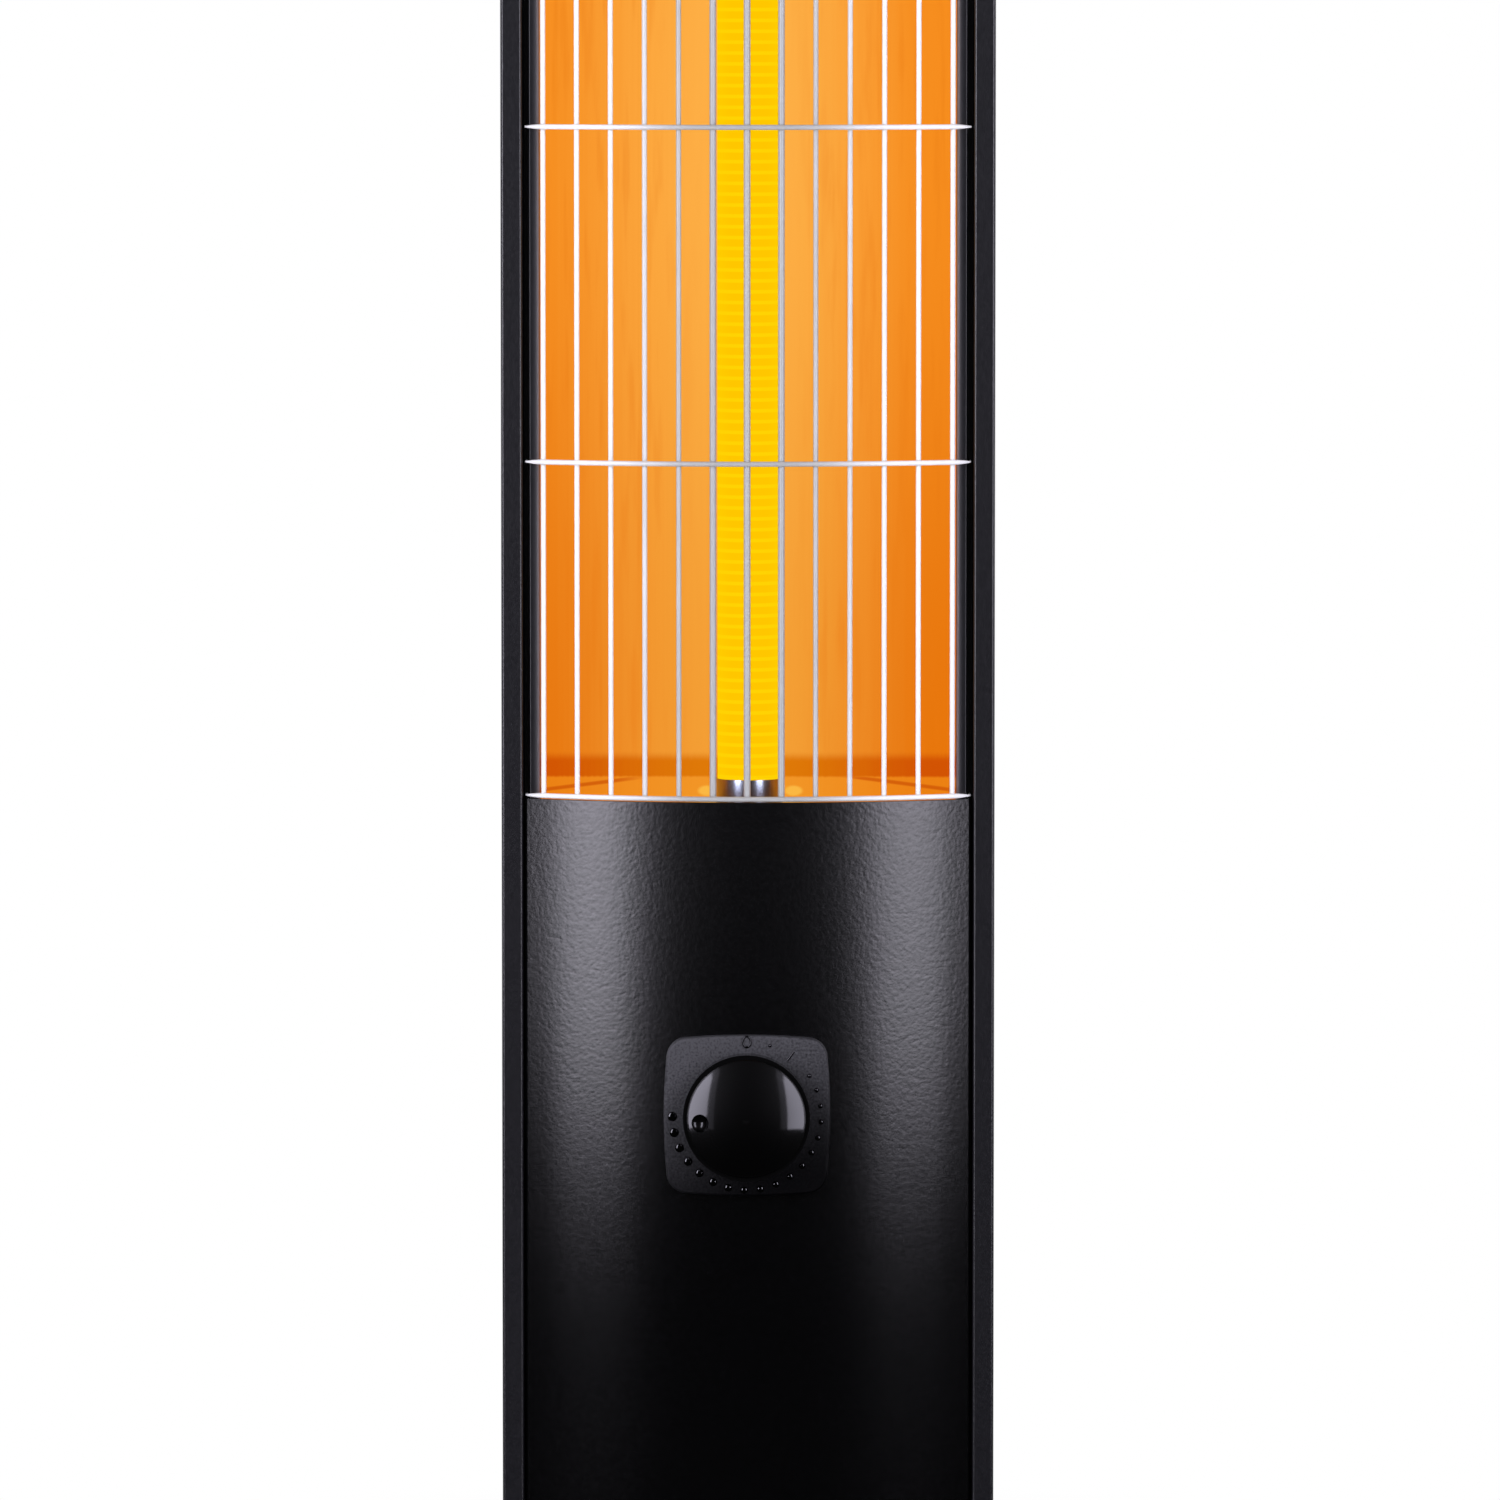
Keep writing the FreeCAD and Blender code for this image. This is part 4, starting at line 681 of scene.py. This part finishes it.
upright_radius = size["Bow Radius"] - size["Wire"] + size["Weld Sink"]
first_x = (1 - size["Uprights"]) * size["Upright Pitch"] / 2
across = row(start, size["Uprights"], point(start, first_x), point(start, size["Upright Pitch"]))
line = start.node("GeometryNodeCurvePrimitiveLine", None, {
    "Start": point(start, z=size["Foot"] + size["Upright Cut"]),
    "End": point(start, z=size["Head"] - size["Upright Cut"])})
from_middle = abs(start.node("GeometryNodeInputIndex") - (UPRIGHTS - 1) / 2)
broad = 1 + (1 - fade(from_middle, 1.2, 1.8)) * size["Middle Growth"]
uprights = at_points(start, bowed(across, upright_radius), wire_along(start, line, size["Wire"]),
                     point(start, broad, broad, 1.0))
print(UPRIGHTS, "uprights planned")

# %% [markdown]
# A cross wire is a row of points on the bow with one more point behind each end, where the leg
# turns back. A fillet at the two elbows makes the bend, and the wire thins out towards its ends,
# as it does where it was pressed into the groove.

# %% The guard's cross wires and welds
BOW_POINTS = 67
ELBOW_FROM_MIDDLE = (BOW_POINTS - 3) / 2
spacing = 2 * size["Leg Out"] / (BOW_POINTS - 3)
bow_row = row(start, BOW_POINTS, point(start, 0 - size["Leg Out"] - spacing), point(start, spacing))
x, y, z = xyz(start.node("GeometryNodeInputPosition"))
beyond = abs(x) > size["Leg Out"] + spacing / 2
flat_x = x.math("SIGN") * size["Leg Out"] * beyond + x * (1 - beyond)
flat_y = size["Leg Back"] * beyond + bow_depth(flat_x, size["Bow Radius"]) * (1 - beyond)
bent = moved_to(start, bow_row, point(start, flat_x, flat_y))
path = start.node("GeometryNodeMeshToCurve", None, {"Mesh": bent})
from_middle = abs(start.node("GeometryNodeInputIndex") - (BOW_POINTS - 1) / 2)
corner = 1 - (abs(from_middle - ELBOW_FROM_MIDDLE) > 0.25)
rounded = start.node("GeometryNodeFilletCurve", {"mode": "POLY"}, {
    "Curve": path, "Count": 6, "Radius": corner * size["Elbow"], "Limit Radius": True})
x, y, z = xyz(start.node("GeometryNodeInputPosition"))
from_leg = size["Leg Out"] - abs(x)
swell = size["Tip"] + (1 - size["Tip"]) * fade(from_leg, 0.0, size["Tip Length"])
lowest = point(start, z=size["Foot"] + size["Wire"] / 2)
levels = row(start, size["Cross Wires"], lowest, point(start, z=size["Bay"]))
cross_wires = at_points(start, levels, wire_along(start, rounded, size["Wire"], swell=swell))

nugget = ball(start, 10, 6, size["Wire"] * 0.5)
weld_radius = size["Bow Radius"] - size["Wire"] * 0.5
welds = at_points(start, bowed(across, weld_radius), nugget, (1.15, 0.7, 1.15))
weld_grid = at_points(start, levels, welds)
guard = grown("wire_guard", start, guard_sizes, [uprights, cross_wires, weld_grid],
              finishes["plated_wire"])
placed(guard, "tower", "plated_wire", "guard_grille")

# %% [markdown]
# Inside the tube hangs a long spring of resistance wire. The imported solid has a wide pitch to
# keep it light; the real winding is closer, one turn for each ring that shows on the glass. A
# spiral curve with a thin round profile has every turn and still few faces.

# %% The heating coil
coil_low, coil_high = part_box("heating_coil")
COIL_WIRE = 1.4 * MM
coil_sizes = {
    "Turns": (coil_high.z - coil_low.z) / RING_PITCH, "Coil Wire": COIL_WIRE,
    "Coil Radius": coil_high.x - COIL_WIRE / 2,
    "Length": coil_high.z - coil_low.z - COIL_WIRE,
    "Foot": coil_low.z + COIL_WIRE / 2, "Axis": TUBE_Y,
}
start, size = open_tree("heating_coil", coil_sizes)
turns = start.node("GeometryNodeCurveSpiral", None, {
    "Resolution": 20, "Rotations": size["Turns"], "Start Radius": size["Coil Radius"],
    "End Radius": size["Coil Radius"], "Height": size["Length"]})
lifted = transformed(start, turns, Translation=point(start, 0.0, size["Axis"], size["Foot"]))
winding = wire_along(start, lifted, size["Coil Wire"], 6)
coil = grown("coil_winding", start, coil_sizes, [winding], finishes["hot_coil"])
placed(coil, "tower", "hot_coil", "heating_coil")

# %% [markdown]
# Around the knob the dial plate carries a raised scale: a nought at the top, a small dot and a
# short bar, and then eighteen dots that grow clockwise with the heat. The marks are the polished
# plastic of the knob on the matt plate. A row of points is wound onto the scale's circle, and
# each point gets a low dome whose size follows its place in the row.

# %% The dial's raised marks
BAR_HALF = 2.2 * MM
BAR_TURN = math.radians(36)
mark_sizes = {
    "Scale Radius": 28.8 * MM, "Dots": 18, "First Angle": math.radians(57),
    "Step": math.radians(12.5), "Lone Angle": math.radians(18), "Bar Angle": BAR_TURN,
    "Small Dot": 0.8 * MM, "Dot Growth": 0.062 * MM, "Dot Height": 0.7 * MM,
    "Face": dial_low.y, "Dial Height": DIAL_Z, "Line": 0.8 * MM,
}
start, size = open_tree("dial_marks", mark_sizes)


def on_scale(angle):
    """A spot on the scale's circle, by the angle clockwise from the top."""
    return point(start, size["Scale Radius"] * angle.math("SINE"), size["Face"],
                 size["Dial Height"] + size["Scale Radius"] * angle.math("COSINE"))


index = start.node("GeometryNodeInputIndex")
beads = row(start, size["Dots"], (0.0, 0.0, 0.0), (0.0, 0.0, 0.0))
ringed = moved_to(start, beads, on_scale(size["First Angle"] + index * size["Step"]))
dome = ball(start, 20, 10, 1.0)
reach = size["Small Dot"] + index * size["Dot Growth"]
dots = at_points(start, ringed, dome, point(start, reach, size["Dot Height"], reach))
lone = transformed(start, dome, Scale=(0.7 * MM, 0.5 * MM, 0.7 * MM),
                   Translation=on_scale(size["Lone Angle"]))

circle = start.node("GeometryNodeCurvePrimitiveCircle", None, {"Resolution": 40, "Radius": 1.0})
top = point(start, 0.0, size["Face"], size["Dial Height"] + size["Scale Radius"])
nought = transformed(start, circle, Rotation=(math.pi / 2, 0.0, 0.0),
                     Scale=(1.5 * MM, 2.1 * MM, 1.0), Translation=top)
bar_line = start.node("GeometryNodeCurvePrimitiveLine", None, {
    "Start": (0.0, 0.0, -BAR_HALF), "End": (0.0, 0.0, BAR_HALF)})
bar = transformed(start, bar_line, Rotation=(0.0, BAR_TURN, 0.0),
                  Translation=on_scale(size["Bar Angle"]))
drawn = [wire_along(start, curve, size["Line"]) for curve in (nought, bar)]
marks = grown("dial_marks", start, mark_sizes, [dots, lone, *drawn], finishes["gloss_black"])
placed(marks, "tower", "gloss_black")

# %% [markdown]
# The end plates are held from the back of the casing by four pan-head screws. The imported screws
# have plain round heads. A head that shows a cross recess could be cut by hand, but one tree can
# make a flattened ball, take two crossed bars out of it, add the shank, and put the screw at the
# four corners of the group.

# %% Screws with a cross recess
low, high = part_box("end_plate_screws")
middle, reach = (low + high) / 2, high - low
HEAD, HEAD_HEIGHT = 6.4 * MM, 2.2 * MM
screw_sizes = {
    "Head": HEAD, "Head Height": HEAD_HEIGHT, "Shank": 3.4 * MM, "Grip": reach.y - HEAD_HEIGHT,
    "Bar Length": 3.8 * MM, "Bar Width": 0.9 * MM,
    "Span Across": reach.x - HEAD, "Span Along": reach.z - HEAD,
}
start, size = open_tree("end_plate_screws_heads", screw_sizes)
head_scale = point(start, size["Head"] / 2, size["Head"] / 2, size["Head Height"])
pan = transformed(start, ball(start, 24, 12, 1.0), Scale=head_scale)
bars = []
for sides in (("Bar Length", "Bar Width"), ("Bar Width", "Bar Length")):
    block = point(start, size[sides[0]], size[sides[1]], size["Head Height"])
    bar = start.node("GeometryNodeMeshCube", None, {"Size": block})
    bars.append(transformed(start, bar, Translation=point(start, z=size["Head Height"])))
cut = start.node("GeometryNodeMeshBoolean", {"operation": "DIFFERENCE"},
                 {"Mesh 1": pan, "Mesh 2": bars})
x, y, z = xyz(start.node("GeometryNodeInputPosition"))
head = start.node("GeometryNodeDeleteGeometry", {"domain": "POINT"}, {
    "Geometry": cut, "Selection": (0 - z) > 0.02 * MM})
rod = start.node("GeometryNodeMeshCylinder", None, {
    "Vertices": 20, "Radius": size["Shank"] / 2, "Depth": size["Grip"]})
shank = transformed(start, rod, Translation=point(start, z=0 - size["Grip"] / 2))
screw = start.node("GeometryNodeJoinGeometry", None, {"Geometry": [head, shank]})
corners = start.node("GeometryNodeMeshGrid", None, {
    "Size X": size["Span Across"], "Size Y": size["Span Along"],
    "Vertices X": 2, "Vertices Y": 2})
seat = (middle.x, high.y - HEAD_HEIGHT, middle.z)
backwards = transformed(start, at_points(start, corners, screw),
                        Rotation=(-math.pi / 2, 0.0, 0.0), Translation=seat)
screws = grown("end_plate_screws_heads", start, screw_sizes, [backwards],
               finish_of["end_plate_screws"])
placed(screws, "tower", slot_of["end_plate_screws"], "end_plate_screws")

# %% [markdown]
# The studio: two tall soft boxes stand left and right of the camera, and the room between them is
# dark, which leaves two broad upright bands on the bowed cover and a dark middle. The light that
# each box throws round itself is a wider, dimmer panel behind it, which fades the bands out.
# Two more lamps, a little behind the heater, draw the thin pale line down each outer edge. All
# stand upright at about the window's height, and they are hidden from the camera.

# %% Soft boxes
LAMP_HEIGHT = 1.8
RIM_ANGLE = 105


def soft_box(name, angle, distance, width, middle, radiance):
    """An upright lamp at an angle from the front, in degrees, that faces the heater."""
    box = bpy.data.lights.new(name, "AREA")
    box.shape = "RECTANGLE"
    box.size, box.size_y = width, LAMP_HEIGHT
    box.energy = radiance * math.pi * width * LAMP_HEIGHT
    box.color = (0.90, 0.87, 1.0)
    lamp = bpy.data.objects.new(name, box)
    turn = math.radians(angle)
    lamp.location = (distance * math.sin(turn), -distance * math.cos(turn), middle)
    lamp.rotation_euler = (math.pi / 2, 0.0, turn)
    lamp.visible_camera = False
    bpy.context.scene.collection.objects.link(lamp)


for side, angle, share in (("left", -38.7, 1.0), ("right", 38.4, 0.82)):
    soft_box(side + "_box", angle, distance=1.7, width=0.50, middle=0.985,
             radiance=10.2 * share)
    soft_box(side + "_bounce", angle, distance=1.75, width=0.84, middle=0.985,
             radiance=1.2 * share)
    soft_box(side + "_rim", math.copysign(RIM_ANGLE, angle), distance=1.7, width=0.6,
             middle=0.95, radiance=3.0)
print("soft boxes on both sides")

# %% [markdown]
# The backdrop is white paper. The world is white for the camera, and for reflections only behind
# the heater, where the paper hangs; everything else gets a dim even light. Light paths choose
# between the three, so that the paper doesn't wash out the black coats.

# %% White backdrop
AMBIENT, GLOSSY_FLOOR = 0.30, 0.02
world = bpy.data.worlds.new("white_paper")
bpy.context.scene.world = world
world.use_nodes = True
tree = world.node_tree
path = Socket(tree).node("ShaderNodeLightPath", out="Is Camera Ray")
mirrored_ray = path.math("MAXIMUM", path.other("Is Glossy Ray"), path.other("Is Transmission Ray"))
x, y, z = xyz(path.node("ShaderNodeTexCoord", out="Generated"))
behind = fade(y, 0.15, 0.55)
shown = path.math("MAXIMUM", path, mirrored_ray * behind)
dim = mirrored_ray * GLOSSY_FLOOR + (1 - mirrored_ray) * AMBIENT
backdrop = tree.nodes["Background"]
tree.links.new((shown + (1 - shown) * dim).end, backdrop.inputs["Strength"])
backdrop.inputs["Color"].default_value = (1.0, 1.0, 1.0, 1.0)
print("backdrop:", world.name)

# %% [markdown]
# The floor is the same white to the eye, but a share of it is plain diffuse, which keeps the soft
# shadow round the base. It could be a shadow catcher, but a mix of two shaders by distance also
# fades the shadow into the paper.

# %% White floor
FLOOR_RADIUS = 1.6
SHADOW_START, SHADOW_END = 0.15, 0.40
WHITE_SHARE = 0.72
work = bmesh.new()
bmesh.ops.create_circle(work, cap_ends=True, radius=FLOOR_RADIUS, segments=96)
mesh = bpy.data.meshes.new("studio_floor")
work.to_mesh(mesh)
work.free()
floor = bpy.data.objects.new("studio_floor", mesh)
bpy.context.scene.collection.objects.link(floor)
paper, shader, place = finish("floor_paper", {
    "Base Color": (0.9, 0.9, 0.9, 1.0), "Roughness": 0.9, "Specular IOR Level": 0.0})
x, y, z = xyz(place)
outwards = fade((x * x + y * y) ** 0.5, SHADOW_START, SHADOW_END)
seen = place.node("ShaderNodeLightPath", out="Is Camera Ray")
white = place.node("ShaderNodeEmission", None, {"Color": (1.0, 1.0, 1.0, 1.0)})
share = seen * (WHITE_SHARE + outwards * (1 - WHITE_SHARE))
output = paper.node_tree.nodes["Material Output"]
mixed = place.node("ShaderNodeMixShader", None, {
    0: share, 1: Socket(paper.node_tree, shader.outputs[0]), 2: white})
paper.node_tree.links.new(mixed.end, output.inputs["Surface"])
mesh.materials.append(paper)
floor.visible_glossy = False
floor.visible_transmission = False
print("floor of", FLOOR_RADIUS, "m")
